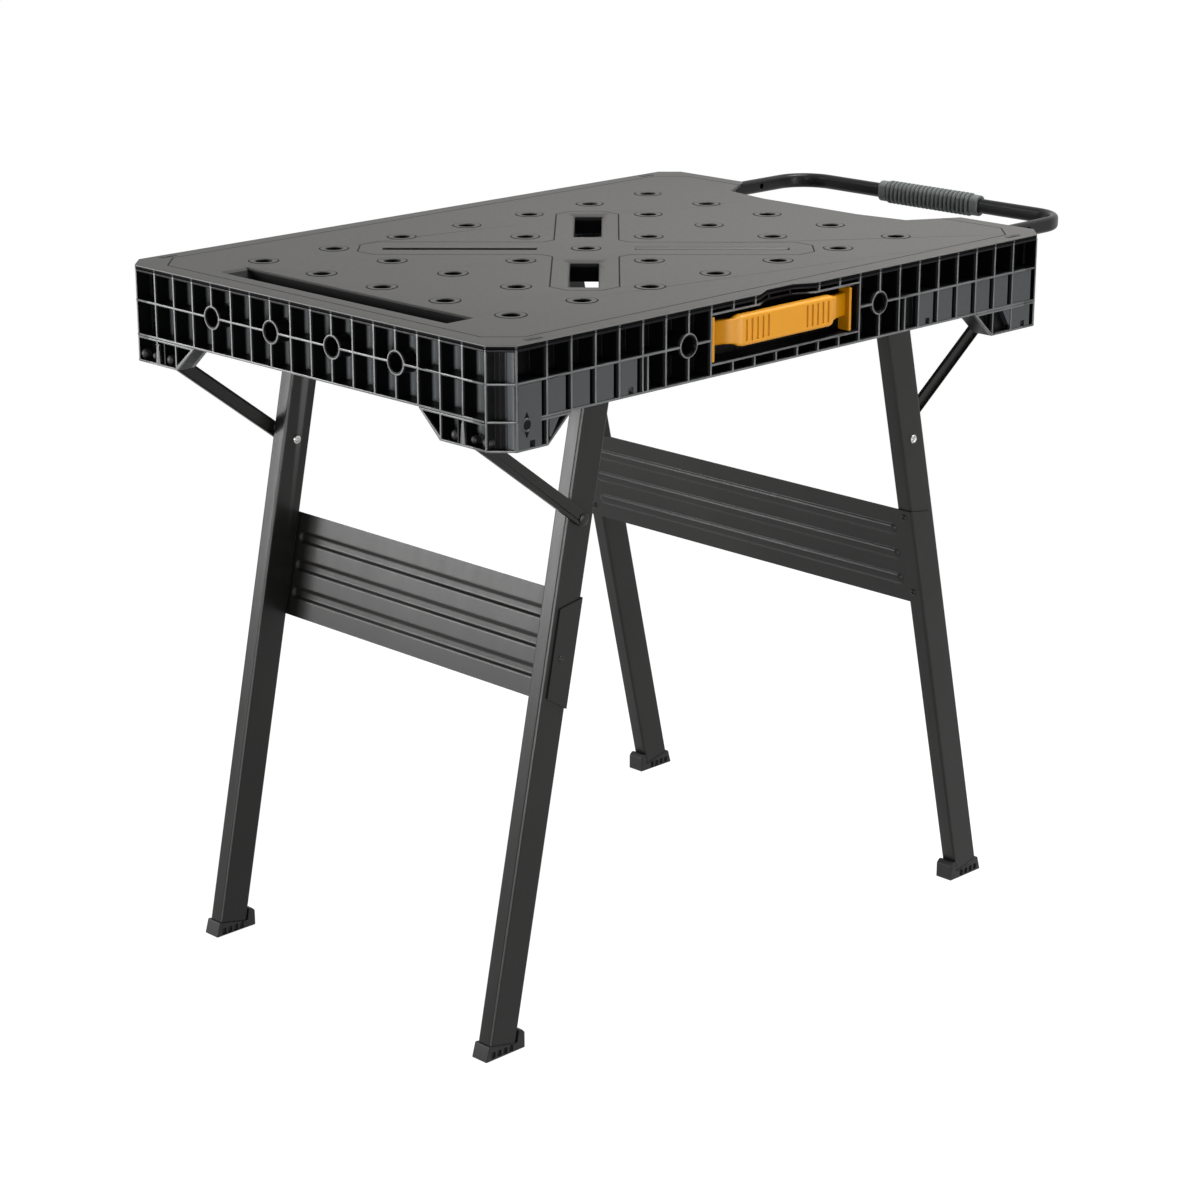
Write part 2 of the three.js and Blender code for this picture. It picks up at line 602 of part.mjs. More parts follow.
/** Insets a three or four sided outline by one rib thickness. */
function inset(points, by) {
  const count = points.length;
  const middle = points.reduce(([a, b], [u, v]) => [a + u / count, b + v / count], [0, 0]);
  const lines = points.map((p, i) => {
    const q = points[(i + 1) % count];
    const length = Math.hypot(q[0] - p[0], q[1] - p[1]);
    const along = [(q[0] - p[0]) / length, (q[1] - p[1]) / length];
    let normal = [-along[1], along[0]];
    if ((middle[0] - p[0]) * normal[0] + (middle[1] - p[1]) * normal[1] < 0) {
      normal = normal.map((n) => -n);
    }
    return { point: [p[0] + normal[0] * by, p[1] + normal[1] * by], along };
  });
  return lines.map((line, i) => {
    const last = lines[(i + count - 1) % count];
    const cross = last.along[0] * line.along[1] - last.along[1] * line.along[0];
    const gap = [line.point[0] - last.point[0], line.point[1] - last.point[1]];
    const t = (gap[0] * line.along[1] - gap[1] * line.along[0]) / cross;
    return [last.point[0] + last.along[0] * t, last.point[1] + last.along[1] * t];
  });
}

/** The two faces of a brace along Y. */
const braceSpan = (frame) => [frame.braceIn, frame.braceIn + BRACE_T];

/** A corner post with its hanging lug, which carries the brace pin between two cheeks. */
function corner(frame, side) {
  const { out, lugColumns } = frame;
  const braceY = braceSpan(frame);
  const q = (x, y, z) => box(x.map((v) => v * out), y.map((v) => v * side), z);
  const pinX = LUG_PIN_S + out * FOLD_X0;
  const full = [LUG_Z, SKIRT_TOP];
  const postY0 = POST_Y - RIB_T / 2;
  const footprint = [
    [END_INNER, postY0],
    [HALF_L, postY0],
    [HALF_L, HALF_W - CORNER_CUT],
    [POST_X, HALF_W],
    [POST_X - RIB_T / 2, HALF_W],
    [POST_X - RIB_T / 2, postY0 + SHALLOW_DEPTH],
    [END_INNER, postY0 + SHALLOW_DEPTH],
  ].map(([x, y]) => [out * x, side * y]);
  const shelves = [LUG_Z, SKIRT_Z, MID_Z - RIB_T / 2, SKIRT_TOP - RIB_T]
    .map((z) => prism(footprint, 'z', z, z + RIB_T));
  const core = prism([
    [END_INNER, postY0],
    [HALF_L - CORNER_CUT / 2, postY0],
    [POST_X + CORNER_CUT / 3, postY0 + CORNER_CUT / 3],
    [POST_X, postY0 + CORNER_CUT / 2],
    [POST_X - RIB_T / 2, postY0 + CORNER_CUT / 2],
    [POST_X - RIB_T / 2, postY0 + SHALLOW_DEPTH],
    [END_INNER, postY0 + SHALLOW_DEPTH],
  ].map(([x, y]) => [out * x, side * y]), 'z', ...full);
  const endRib = q([END_INNER, HALF_L], [postY0, postY0 + RIB_T], full);
  const sideRib = q([POST_X - RIB_T / 2, POST_X + RIB_T / 2], [postY0, HALF_W], full);

  const [ribA, ribB, ribC] = [1, 2, 3].map((k) => POST_Y - k * END_PITCH);
  const endFace = [
    [postY0 + 1, LUG_Z],
    [ribB - RIB_T / 2, LUG_Z],
    [ribC, LUG_TOP],
    [postY0 + 1, LUG_TOP],
  ];
  const signedY = (points) => points.map(([y, z]) => [side * y, z]);
  const lugEnd = prism(signedY(endFace), 'x', out * END_INNER, out * HALF_L);
  const cellX = [out * (END_INNER + WALL_T), out * (HALF_L + 1)];
  const cellZ = [LUG_Z + RIB_T, LUG_TOP - RIB_T];
  const rampCell = inset([
    [ribB + RIB_T / 2, LUG_Z],
    [ribC, LUG_TOP],
    [ribB + RIB_T / 2, LUG_TOP],
  ], RIB_T);
  const endCells = [
    box(cellX, [side * (ribA + RIB_T / 2), side * postY0], cellZ),
    box(cellX, [side * (ribB + RIB_T / 2), side * (ribA - RIB_T / 2)], cellZ),
    prism(signedY(rampCell), 'x', ...cellX),
  ];

  const rowStart = out > 0 ? RIGHT_COLUMNS : LEFT_COLUMNS;
  const lineX = (k) => WINDOW_HALF + (rowStart - 1 - k) * SIDE_PITCH + out * GRID_X0;
  const sideFace = [
    [POST_X, LUG_Z],
    [lineX(lugColumns) - RIB_T / 2, LUG_Z],
    [lineX(lugColumns + 1), LUG_TOP],
    [POST_X, LUG_TOP],
  ];
  const signedX = (points) => points.map(([x, z]) => [out * x, z]);
  const wallIn = HALF_W - SHALLOW_DEPTH - WALL_T;
  const lugSide = prism(signedX(sideFace), 'y', side * SIDE_INNER, side * HALF_W);
  const hollow = signedX(inset(sideFace, RIB_T));
  const sideCuts = [
    prism(hollow, 'y', side * (HALF_W - SHALLOW_DEPTH), side * (HALF_W + 1)),
    prism(hollow, 'y', side * (SIDE_INNER - 1), side * wallIn),
  ];
  const sideRibs = range(lugColumns + 1).map((k) => q(
    [lineX(k) - RIB_T / 2, lineX(k) + RIB_T / 2], [wallIn, HALF_W], [LUG_Z, LUG_TOP],
  ));
  const drainX = (POST_X + lineX(0)) / 2;
  const drain = q(
    [drainX - DRAIN / 2, drainX + DRAIN / 2], [wallIn - 1, HALF_W - SHALLOW_DEPTH + 1],
    [LUG_Z + RIB_T, LUG_Z + RIB_T + DRAIN],
  );

  const cheekX = out > 0 ? [pinX - 2 * AXLE_R - PIN_R, END_INNER + 1] : [END_INNER, HALF_L - RIB_T];
  const cheeks = [
    [braceY[0] - CHEEK_GAP - WALL_T, braceY[0] - CHEEK_GAP],
    [braceY[1] + CHEEK_GAP, braceY[1] + CHEEK_GAP + WALL_T],
  ].map((y) => q(cheekX, y, [LUG_Z, LUG_TOP]));
  const lane = q(
    [END_INNER - 1, pinX + BRACE_W / 2 + AXLE_R],
    [braceY[0] - CHEEK_GAP + RUN, braceY[1] + CHEEK_GAP - RUN],
    [LUG_Z - 1, LUG_TOP + 1],
  );
  const pinHole = prism(
    circle([out * pinX, LUG_PIN_Z], PIN_R + GAP, 12), 'y',
    side * (braceY[0] - BRACE_W), side * (braceY[1] + BRACE_W),
  );

  const endPart = cut(lugEnd, endCells);
  const sidePart = unite([cut(lugSide, sideCuts), ...sideRibs]).subtract(drain);
  const whole = unite([...shelves, core, endRib, sideRib, endPart, sidePart, ...cheeks]);
  return cut(whole, out > 0 ? [pinHole] : [lane, pinHole]);
}

/** The fixed carry handle: two plates in the window and a bowed grip between them. */
function carryHandle() {
  const arm = HANDLE_PLATE_Y[0] + 2;
  const bow = prism([
    [HANDLE_X[0] + 1, -arm - HANDLE_ARM_T],
    [HANDLE_GRIP_X[0], -HANDLE_FRONT],
    [HANDLE_GRIP_X[1], -HANDLE_FRONT],
    [HANDLE_X[1] - 1, -arm - HANDLE_ARM_T],
    [HANDLE_X[1] - 1, -arm],
    [HANDLE_GRIP_X[1], -HANDLE_FRONT + HANDLE_GRIP_T],
    [HANDLE_GRIP_X[0], -HANDLE_FRONT + HANDLE_GRIP_T],
    [HANDLE_X[0] + 1, -arm],
  ], 'z', ...HANDLE_GRIP_Z);
  const plateY = HANDLE_PLATE_Y.map((y) => -y);
  const plates = [
    box([HANDLE_X[0], HANDLE_X[0] + HANDLE_PLATE], plateY, HANDLE_Z),
    box([HANDLE_X[1] - HANDLE_PLATE, HANDLE_X[1]], plateY, HANDLE_Z),
  ];
  const jamb = WINDOW_X[1] - GAP;
  const tab = box([HANDLE_X[1] - 1, jamb], [plateY[0], plateY[0] - HANDLE_PLATE], HANDLE_GRIP_Z);
  const groove = (x) => box(
    [x - HANDLE_GROOVE / 2, x + HANDLE_GROOVE / 2],
    [-HANDLE_FRONT - 1, -HANDLE_FRONT + HANDLE_GROOVE_DEPTH],
    [HANDLE_GRIP_Z[0] + HANDLE_GROOVE_END, HANDLE_GRIP_Z[1] - HANDLE_GROOVE_END],
  );
  const grooves = range(HANDLE_GROOVES).flatMap((i) => [
    groove(HANDLE_GRIP_X[0] + (i + 1) * HANDLE_GROOVE_PITCH),
    groove(HANDLE_GRIP_X[1] - (i + 1) * HANDLE_GROOVE_PITCH),
  ]);
  return cut(unite([bow, ...plates, tab]), grooves);
}

/** Knots of the pull bar's U: rear tail, bend, crossbar, bend, front tail. */
function barKnots() {
  const knot = (x, y, headX, headY) => ({
    point: new THREE.Vector3(x, y, BAR_Z),
    heading: new THREE.Vector3(headX, headY, 0),
  });
  const knots = [knot(BAR_TAIL_X, BAR_HALF_W, 1, 0)];
  const bendX = BAR_X - BAR_BEND_R;
  const bendY = BAR_HALF_W - BAR_BEND_R;
  [1, -1].forEach((side) => range(BAR_BEND_STEPS + 1).forEach((i) => {
    const turn = i / BAR_BEND_STEPS * Math.PI / 2;
    const angle = side > 0 ? Math.PI / 2 - turn : -turn;
    const x = bendX + BAR_BEND_R * Math.cos(angle);
    const y = side * bendY + BAR_BEND_R * Math.sin(angle);
    knots.push(knot(x, y, Math.sin(angle), -Math.cos(angle)));
  }));
  knots.push(knot(BAR_TAIL_X, -BAR_HALF_W, -1, 0));
  return knots;
}

/** The flat oval pull bar with a lock hole through each arm. */
function pullBar() {
  const section = (grow) => roundRect(
    [0, 0], BAR_H + grow, BAR_T + grow, (BAR_T + grow) / 2 - OVAL_FLAT, OVAL_STEPS,
  ).map(([u, v]) => new THREE.Vector2(u, v));
  const shape = new THREE.Shape(section(0));
  shape.holes.push(new THREE.Path(section(-2 * BAR_WALL)));
  const knots = barKnots();
  const tube = new THREE.ExtrudeGeometry(shape, {
    steps: knots.length - 1,
    extrudePath: new KnotPath(knots),
  });
  const reach = BAR_HALF_W + BAR_T;
  const lock = prism(circle([BAR_LOCK_X, BAR_Z], BAR_LOCK_R, 12), 'y', -reach, reach);
  return solidOf(tube).subtract(lock);
}

/** The ribbed sleeve on the crossbar: a core, thin rings and two end collars. */
function barGrip() {
  const oval = (grow, steps = OVAL_STEPS - 1) => roundRect(
    [BAR_X, BAR_Z], BAR_T + grow, BAR_H + grow, (BAR_T + grow) / 2 - OVAL_FLAT, steps,
  );
  const core = prism(oval(GRIP_GROW), 'y', -GRIP_HALF_L, GRIP_HALF_L);
  const collarGrow = GRIP_GROW + GRIP_RING_RISE;
  const collars = [-1, 1].map((side) => prism(
    oval(collarGrow), 'y', side * GRIP_HALF_L, side * (GRIP_HALF_L - GRIP_COLLAR),
  ));
  const ringReach = GRIP_HALF_L - GRIP_COLLAR;
  const pitch = 2 * ringReach / (GRIP_RINGS + 1);
  const rings = range(GRIP_RINGS).map((i) => {
    const y = -ringReach + (i + 1) * pitch;
    return prism(oval(GRIP_GROW + 2 * GRIP_RING_RISE), 'y', y - GRIP_RING_T / 2, y + GRIP_RING_T / 2);
  });
  const bore = prism(oval(2 * GAP, OVAL_STEPS), 'y', -GRIP_HALF_L - 1, GRIP_HALF_L + 1);
  return unite([core, ...collars, ...rings]).subtract(bore);
}

/** A sleeve under the deck that one arm of the pull bar slides through. */
function barGuide(side) {
  const inner = [BAR_HALF_W - BAR_T / 2 - GAP, BAR_HALF_W + BAR_T / 2 + GAP];
  const innerZ = [BAR_Z - BAR_H / 2 - GAP, BAR_Z + BAR_H / 2 + GAP];
  const sleeve = box(
    GUIDE_X,
    [side * (inner[0] - GUIDE_WALL), side * (inner[1] + GUIDE_WALL)],
    [innerZ[0] - GUIDE_WALL, SKIRT_TOP],
  );
  const bore = box([GUIDE_X[0] - 1, GUIDE_X[1] + 1], inner.map((y) => side * y), innerZ);
  return sleeve.subtract(bore);
}

const RAIL_HALF = SHOE_H / 2 + GAP;

/** A rail of C section; the web stands on the side away from the leg and may rise to the deck. */
function rail(xSpan, side, yOpen, yWeb, pivotZ, webTop) {
  const webDir = Math.sign(yWeb - yOpen);
  const zSpan = [pivotZ - RAIL_HALF - WALL_T, pivotZ + RAIL_HALF + WALL_T];
  const solid = box(xSpan, [side * yOpen, side * yWeb], zSpan);
  const hollow = box(
    [xSpan[0] - 1, xSpan[1] + 1],
    [side * (yOpen - webDir), side * (yWeb - webDir * WALL_T)],
    [pivotZ - RAIL_HALF, pivotZ + RAIL_HALF],
  );
  const web = box(xSpan, [side * (yWeb - webDir * WALL_T), side * yWeb], [zSpan[0], webTop]);
  return solid.subtract(hollow).add(web);
}

/** s of the leg's centre line at a height. */
const legS = (frame, z) => BRACE_S + (BRACE_Z - z) * Math.tan(frame.tilt);

/** A point given by s and z in the leg frame's own axes: inward across the leg, and up along it. */
function legPoint(frame, s, z) {
  const across = s - legS(frame, frame.pivotZ);
  const up = z - frame.pivotZ;
  return [
    frame.out * (across * Math.cos(frame.tilt) + up * Math.sin(frame.tilt)),
    up * Math.cos(frame.tilt) - across * Math.sin(frame.tilt),
  ];
}

/** A leg tube with the hole for its top pin. */
function leg(frame, side) {
  const length = (frame.pivotZ - LEG_END_Z) / Math.cos(frame.tilt);
  const y = side * frame.legY;
  const outer = prism(roundRect([0, y], LEG_W, LEG_T, LEG_R, 3), 'z', -length, LEG_OVER);
  const inner = prism(
    roundRect([0, y], LEG_W - 2 * LEG_WALL, LEG_T - 2 * LEG_WALL, LEG_R - LEG_WALL, 2),
    'z', -length - 1, LEG_OVER + 1,
  );
  const face = frame.legY + frame.pinFace * LEG_T / 2;
  const hole = prism(
    circle([0, 0], AXLE_R + GAP, 12), 'y', side * (face - 2 * LEG_WALL), side * (face + 2 * LEG_WALL),
  );
  return cut(outer, [inner, hole]);
}

/** A moulded foot: a wedge under the leg, a toe on the inner side, a plug in the tube and side openings. */
function foot(frame, side) {
  const ground = legS(frame, 0);
  const endS = legS(frame, LEG_END_Z);
  const half = LEG_W / 2;
  const tube = (across) => [
    endS + across * Math.cos(frame.tilt),
    LEG_END_Z + across * Math.sin(frame.tilt) - GAP,
  ];
  const outerEnd = tube(half);
  const innerEnd = tube(-half - GAP);
  const innerTop = [innerEnd[0] - (TOE_Z - innerEnd[1]) * Math.tan(frame.tilt), TOE_Z];
  const outline = [
    [ground + FOOT_OUT, 0],
    [outerEnd[0] + 2 * FOOT_SIDE, outerEnd[1]],
    outerEnd,
    innerEnd,
    innerTop,
    [ground - FOOT_IN + TOE_EDGE, TOE_Z],
    [ground - FOOT_IN, TOE_Z - TOE_EDGE],
    [ground - FOOT_IN, 0],
  ].map(([s, z]) => legPoint(frame, s, z));
  const y = frame.legY;
  const faces = [y - LEG_T / 2 - FOOT_SIDE, y + LEG_T / 2 + FOOT_SIDE];
  const boot = prism(outline, 'y', ...faces.map((v) => side * v));
  const length = (frame.pivotZ - LEG_END_Z) / Math.cos(frame.tilt);
  const room = 2 * (LEG_WALL + GAP);
  const plug = prism(
    roundRect([0, side * y], LEG_W - room, LEG_T - room, LEG_R - LEG_WALL, 2),
    'z', -length - 2, -length + PLUG_L,
  );
  const [slotW, slotH, slotD] = FOOT_SLOT;
  const slots = range(FOOT_SLOTS).map((i) => {
    const s = ground + (i - (FOOT_SLOTS - 1) / 2) * FOOT_SLOT_PITCH;
    const rise = 2 + (i - (FOOT_SLOTS - 1) / 2) * Math.tan(frame.tilt);
    const corners = [[-1, 0], [1, 0], [1, 1], [-1, 1]]
      .map(([u, v]) => legPoint(frame, s + u * slotW / 2, rise + v * slotH));
    return prism(corners, 'y', side * (faces[1] - slotD), side * (faces[1] + 1));
  });
  return cut(boot.add(plug), slots);
}

/** The pressed cross panel on the inner faces of both legs, with beads, and flanges on the outer faces. */
function panel(frame) {
  const inward = -frame.out;
  const back = LEG_W / 2 + GAP;
  const front = back + SHEET_T;
  const reach = frame.legY + LEG_T / 2 + GAP + SHEET_T;
  const top = (BRACE_Z - frame.pivotZ) / Math.cos(frame.tilt) - frame.kneeToPanel;
  const zSpan = [top - PANEL_H, top];
  const sheet = box([inward * back, inward * front], [-reach, reach], zSpan);
  const flangeOutline = [
    [inward * front, zSpan[1]],
    [inward * (front - FLANGE_REACH), zSpan[1] - FLANGE_TAPER],
    [inward * (front - FLANGE_REACH), zSpan[0] + FLANGE_TAPER],
    [inward * front, zSpan[0]],
  ];
  const flanges = [-1, 1].map((side) => prism(flangeOutline, 'y', side * (reach - SHEET_T), side * reach));
  const beadHalf = frame.legY - BEAD_INSET;
  const bead = (less, i) => {
    const radius = BEAD_HALF_W - less;
    const geometry = new THREE.CapsuleGeometry(radius, 2 * beadHalf, 3, 12);
    geometry.scale((BEAD_RISE - less) / radius, 1, 1);
    geometry.translate(inward * back, 0, top - PANEL_H / 2 + (i - (BEADS - 1) / 2) * BEAD_PITCH);
    return solidOf(geometry);
  };
  const keep = box([inward * back, inward * (back + BIG)], [-reach, reach], zSpan);
  const ridges = range(BEADS).map((i) => bead(0, i).intersect(keep));
  const troughs = range(BEADS).map((i) => bead(SHEET_T, i));
  return cut(unite([sheet, ...flanges, ...ridges]), troughs);
}

/** A brace: a channel with round ends between the lug pin and the leg. */
function brace(frame, side) {
  const { out } = frame;
  const braceY = braceSpan(frame);
  const at = (s, z) => [FOLD_X0 + out * s, z];
  const pin = at(LUG_PIN_S, LUG_PIN_Z);
  const knee = at(BRACE_S, BRACE_Z);
  const bar = prism(stadium(pin, knee, BRACE_W / 2, 6), 'y', ...braceY.map((y) => side * y));
  const solidEnd = BRACE_SOLID_END / Math.hypot(knee[0] - pin[0], knee[1] - pin[1]);
  const mix = (t) => [pin[0] + (knee[0] - pin[0]) * t, pin[1] + (knee[1] - pin[1]) * t];
  const legSide = out > 0
    ? [braceY[0] + BRACE_WALL, braceY[1] + 1]
    : [braceY[0] - 1, braceY[1] - BRACE_WALL];
  const channel = prism(
    stadium(mix(solidEnd), mix(1 - solidEnd), BRACE_W / 2 - BRACE_WALL, 4),
    'y', ...legSide.map((y) => side * y),
  );
  const hole = (p, radius) => prism(
    circle(p, radius, 12), 'y', side * (braceY[0] - 1), side * (braceY[1] + 1),
  );
  return cut(bar, [channel, hole(pin, PIN_R + GAP), hole(knee, RIVET_R + GAP)]);
}

/** The rivet at the knee: a spacer by the leg, a shank in the brace and a low head on its far face. */
function braceRivet(frame, side) {
  const { out } = frame;
  const braceY = braceSpan(frame);
  const away = out > 0 ? -1 : 1;
  const legFace = frame.legY + away * (LEG_T / 2 + GAP);
  const lift = away * ((away > 0 ? braceY[0] : braceY[1]) - legFace);
  const spacer = lift > 2 * GAP
    ? [[RIVET_HEAD_R, 0], [RIVET_HEAD_R, lift - GAP], [RIVET_R, lift - GAP]]
    : [[RIVET_R, 0]];
  const far = lift + BRACE_T;
  const profile = [
    [0, 0],
    ...spacer,
    [RIVET_R, far + GAP],
    [RIVET_HEAD_R, far + GAP],
    [RIVET_HEAD_R, far + RIVET_HEAD_T / 2],
    [RIVET_HEAD_R / 2, far + RIVET_HEAD_T],
    [0, far + RIVET_HEAD_T],
  ].map(([r, h]) => new THREE.Vector2(r, h));
  const geometry = new THREE.LatheGeometry(profile, ROUND_SIDES);
  if (side * away < 0) {
    geometry.rotateX(Math.PI);
  }
  geometry.translate(FOLD_X0 + out * BRACE_S, side * legFace, BRACE_Z);
  return solidOf(geometry);
}

/** A shoe that slides in a rail, bored for the leg's top pin. */
function shoe(frame, side, ySpan) {
  const x = FOLD_X0 + frame.out * legS(frame, frame.pivotZ);
  const body = box(
    [x - SHOE_L / 2, x + SHOE_L / 2],
    ySpan.map((y) => side * y),
    [frame.pivotZ - SHOE_H / 2, frame.pivotZ + SHOE_H / 2],
  );
  const bore = prism(
    circle([x, frame.pivotZ], AXLE_R + GAP, 12), 'y', side * (ySpan[0] - 1), side * (ySpan[1] + 1),
  );
  return body.subtract(bore);
}

/** A round pin along Y. */
function pinAlongY([x, z], radius, side, ySpan) {
  return prism(circle([x, z], radius, ROUND_SIDES), 'y', ...ySpan.map((y) => side * y));
}

addPart(table, 'deck', deck(), DECK_PLASTIC);
addPart(table, 'deck_ribs', deckRibs(), BLACK_PLASTIC);
addPart(table, 'front_skirt', sideSkirt(-1, true), BLACK_PLASTIC);
addPart(table, 'rear_skirt', sideSkirt(1, false), BLACK_PLASTIC);
addPart(table, 'left_end_skirt', endSkirt(-1), BLACK_PLASTIC);
addPart(table, 'right_end_skirt', endSkirt(1), BLACK_PLASTIC);
addPart(table, 'carry_handle', carryHandle(), YELLOW);
addPart(table, 'pull_bar', pullBar(), BAR_STEEL);
addPart(table, 'bar_grip', barGrip(), GREY_RUBBER);

const RANKS = { front: -1, rear: 1 };
Object.entries(RANKS).forEach(([rank, side]) => {
  addPart(table, `bar_guide_${rank}`, barGuide(side), SHOE_PLASTIC);
});

Object.entries(SIDES).forEach(([end, frame]) => {
  const isRight = frame.out > 0;
  const pivotX = FOLD_X0 + frame.out * legS(frame, frame.pivotZ);
  const legs = new THREE.Group();
  legs.position.set(pivotX, 0, frame.pivotZ);
  legs.rotation.y = -frame.out * frame.tilt;
  table.add(legs);
  addPart(legs, `${end}_panel`, panel(frame), BLACK_STEEL);

  const railY = isRight ? RIGHT_RAIL_Y : LEFT_RAIL_Y;
  const openY = isRight ? railY[0] : railY[1];
  const webY = isRight ? railY[1] : railY[0];
  const railX = isRight ? RIGHT_RAIL_X : LEFT_RAIL_X;
  const webTop = isRight ? frame.pivotZ + RAIL_HALF : SKIRT_TOP;
  const shoeY = isRight
    ? [openY + SHOE_RUN, webY - WALL_T - GAP]
    : [webY + WALL_T + GAP, openY - SHOE_RUN];
  const legFace = frame.legY + frame.pinFace * LEG_T / 2;
  const axleEnd = isRight ? shoeY[1] - PIN_OVER : shoeY[0] + PIN_OVER;
  const axleY = sorted(legFace - frame.pinFace * LEG_T / 2, axleEnd);
  const lugX = FOLD_X0 + frame.out * LUG_PIN_S;
  const braceY = braceSpan(frame);
  const pinIn = braceY[0] - CHEEK_GAP - WALL_T - PIN_OVER;
  const pinOut = isRight ? braceY[1] + CHEEK_GAP + WALL_T + PIN_OVER : braceY[1] + BRACE_W;

  Object.entries(RANKS).forEach(([rank, side]) => {
    addPart(table, `corner_${rank}_${end}`, corner(frame, side), BLACK_PLASTIC);
    addPart(
      table, `${end}_rail_${rank}`, rail(railX, side, openY, webY, frame.pivotZ, webTop), SHOE_PLASTIC,
    );
    addPart(table, `${end}_shoe_${rank}`, shoe(frame, side, shoeY), SHOE_PLASTIC);
    addPart(
      table, `${end}_top_pin_${rank}`, pinAlongY([pivotX, frame.pivotZ], AXLE_R, side, axleY), BARE_STEEL,
    );
    addPart(legs, `${end}_leg_${rank}`, leg(frame, side), BLACK_STEEL);
    addPart(legs, `${end}_foot_${rank}`, foot(frame, side), FOOT_PLASTIC);
    addPart(table, `${end}_brace_${rank}`, brace(frame, side), BLACK_STEEL);
    addPart(table, `${end}_brace_rivet_${rank}`, braceRivet(frame, side), BLACK_STEEL);
    addPart(
      table, `${end}_lug_pin_${rank}`, pinAlongY([lugX, LUG_PIN_Z], PIN_R, side, [pinIn, pinOut]), BARE_STEEL,
    );
  });
});

export default bench;
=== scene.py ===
"""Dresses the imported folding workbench: softened mouldings, coated steel, fittings and a plain studio."""

import logging
import math
from dataclasses import dataclass
from enum import Enum
from typing import Callable, Iterable, Sequence

import bpy
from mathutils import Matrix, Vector


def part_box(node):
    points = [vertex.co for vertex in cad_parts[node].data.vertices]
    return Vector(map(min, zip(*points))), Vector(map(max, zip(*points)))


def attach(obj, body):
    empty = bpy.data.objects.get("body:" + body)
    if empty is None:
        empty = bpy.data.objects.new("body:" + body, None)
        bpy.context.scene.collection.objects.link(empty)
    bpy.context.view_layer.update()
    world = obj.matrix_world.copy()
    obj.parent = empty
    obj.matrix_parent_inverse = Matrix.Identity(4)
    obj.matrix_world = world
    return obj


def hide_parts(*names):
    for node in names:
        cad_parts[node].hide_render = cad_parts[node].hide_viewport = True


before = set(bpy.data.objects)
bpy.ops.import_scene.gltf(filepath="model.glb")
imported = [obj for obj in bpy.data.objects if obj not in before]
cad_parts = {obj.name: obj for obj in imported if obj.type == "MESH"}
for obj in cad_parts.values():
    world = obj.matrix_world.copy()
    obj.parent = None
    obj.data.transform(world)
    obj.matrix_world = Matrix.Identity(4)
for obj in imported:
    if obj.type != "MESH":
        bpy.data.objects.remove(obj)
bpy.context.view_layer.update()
LOG = logging.getLogger("workbench")

Point = tuple[float, float, float]
Colour = tuple[float, float, float, float]
Profile = Sequence[tuple[float, float]]

DECK_LOW, DECK_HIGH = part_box("deck")
DATUM = Vector(((DECK_LOW[0] + DECK_HIGH[0]) / 2, (DECK_LOW[1] + DECK_HIGH[1]) / 2, 0.0))
HALF_LENGTH = (DECK_HIGH[0] - DECK_LOW[0]) / 2
HALF_WIDTH = (DECK_HIGH[1] - DECK_LOW[1]) / 2
DECK_TOP = DECK_HIGH[2]


def at(x: float, y: float, z: float) -> Point:
    """A place in the row frame, from sizes given from the middle of the deck."""
    return (x + DATUM.x, y + DATUM.y, z)


def tone(code: int) -> Colour:
    """Turns a display colour into a linear one.

    Args:
        code: The colour as 0xRRGGBB.

    Returns:
        Linear red, green, blue and full opacity.
    """
    parts = [((code >> shift) & 255) / 255 for shift in (16, 8, 0)]
    red, green, blue = [c / 12.92 if c <= 0.04045 else ((c + 0.055) / 1.055) ** 2.4 for c in parts]
    return (red, green, blue, 1.0)


class Axis(Enum):
    """A row axis that a round fitting stands along."""

    X = 0
    Y = 1
    Z = 2


class Body(Enum):
    """The moving groups of the bench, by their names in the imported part."""

    TABLE = "table"
    BAR = "bar"
    LEFT_GLIDE = "left_glide"
    RIGHT_GLIDE = "right_glide"
    LEFT_LEGS = "left_legs"
    RIGHT_LEGS = "right_legs"


class Slot(Enum):
    """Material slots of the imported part."""

    DECK = "deck_plastic"
    BLACK = "black_plastic"
    YELLOW = "yellow_plastic"
    STEEL = "black_steel"
    BAR = "bar_steel"
    GRIP = "grip_rubber"
    ZINC = "bare_steel"
    FOOT = "foot_plastic"
    SHOE = "shoe_plastic"


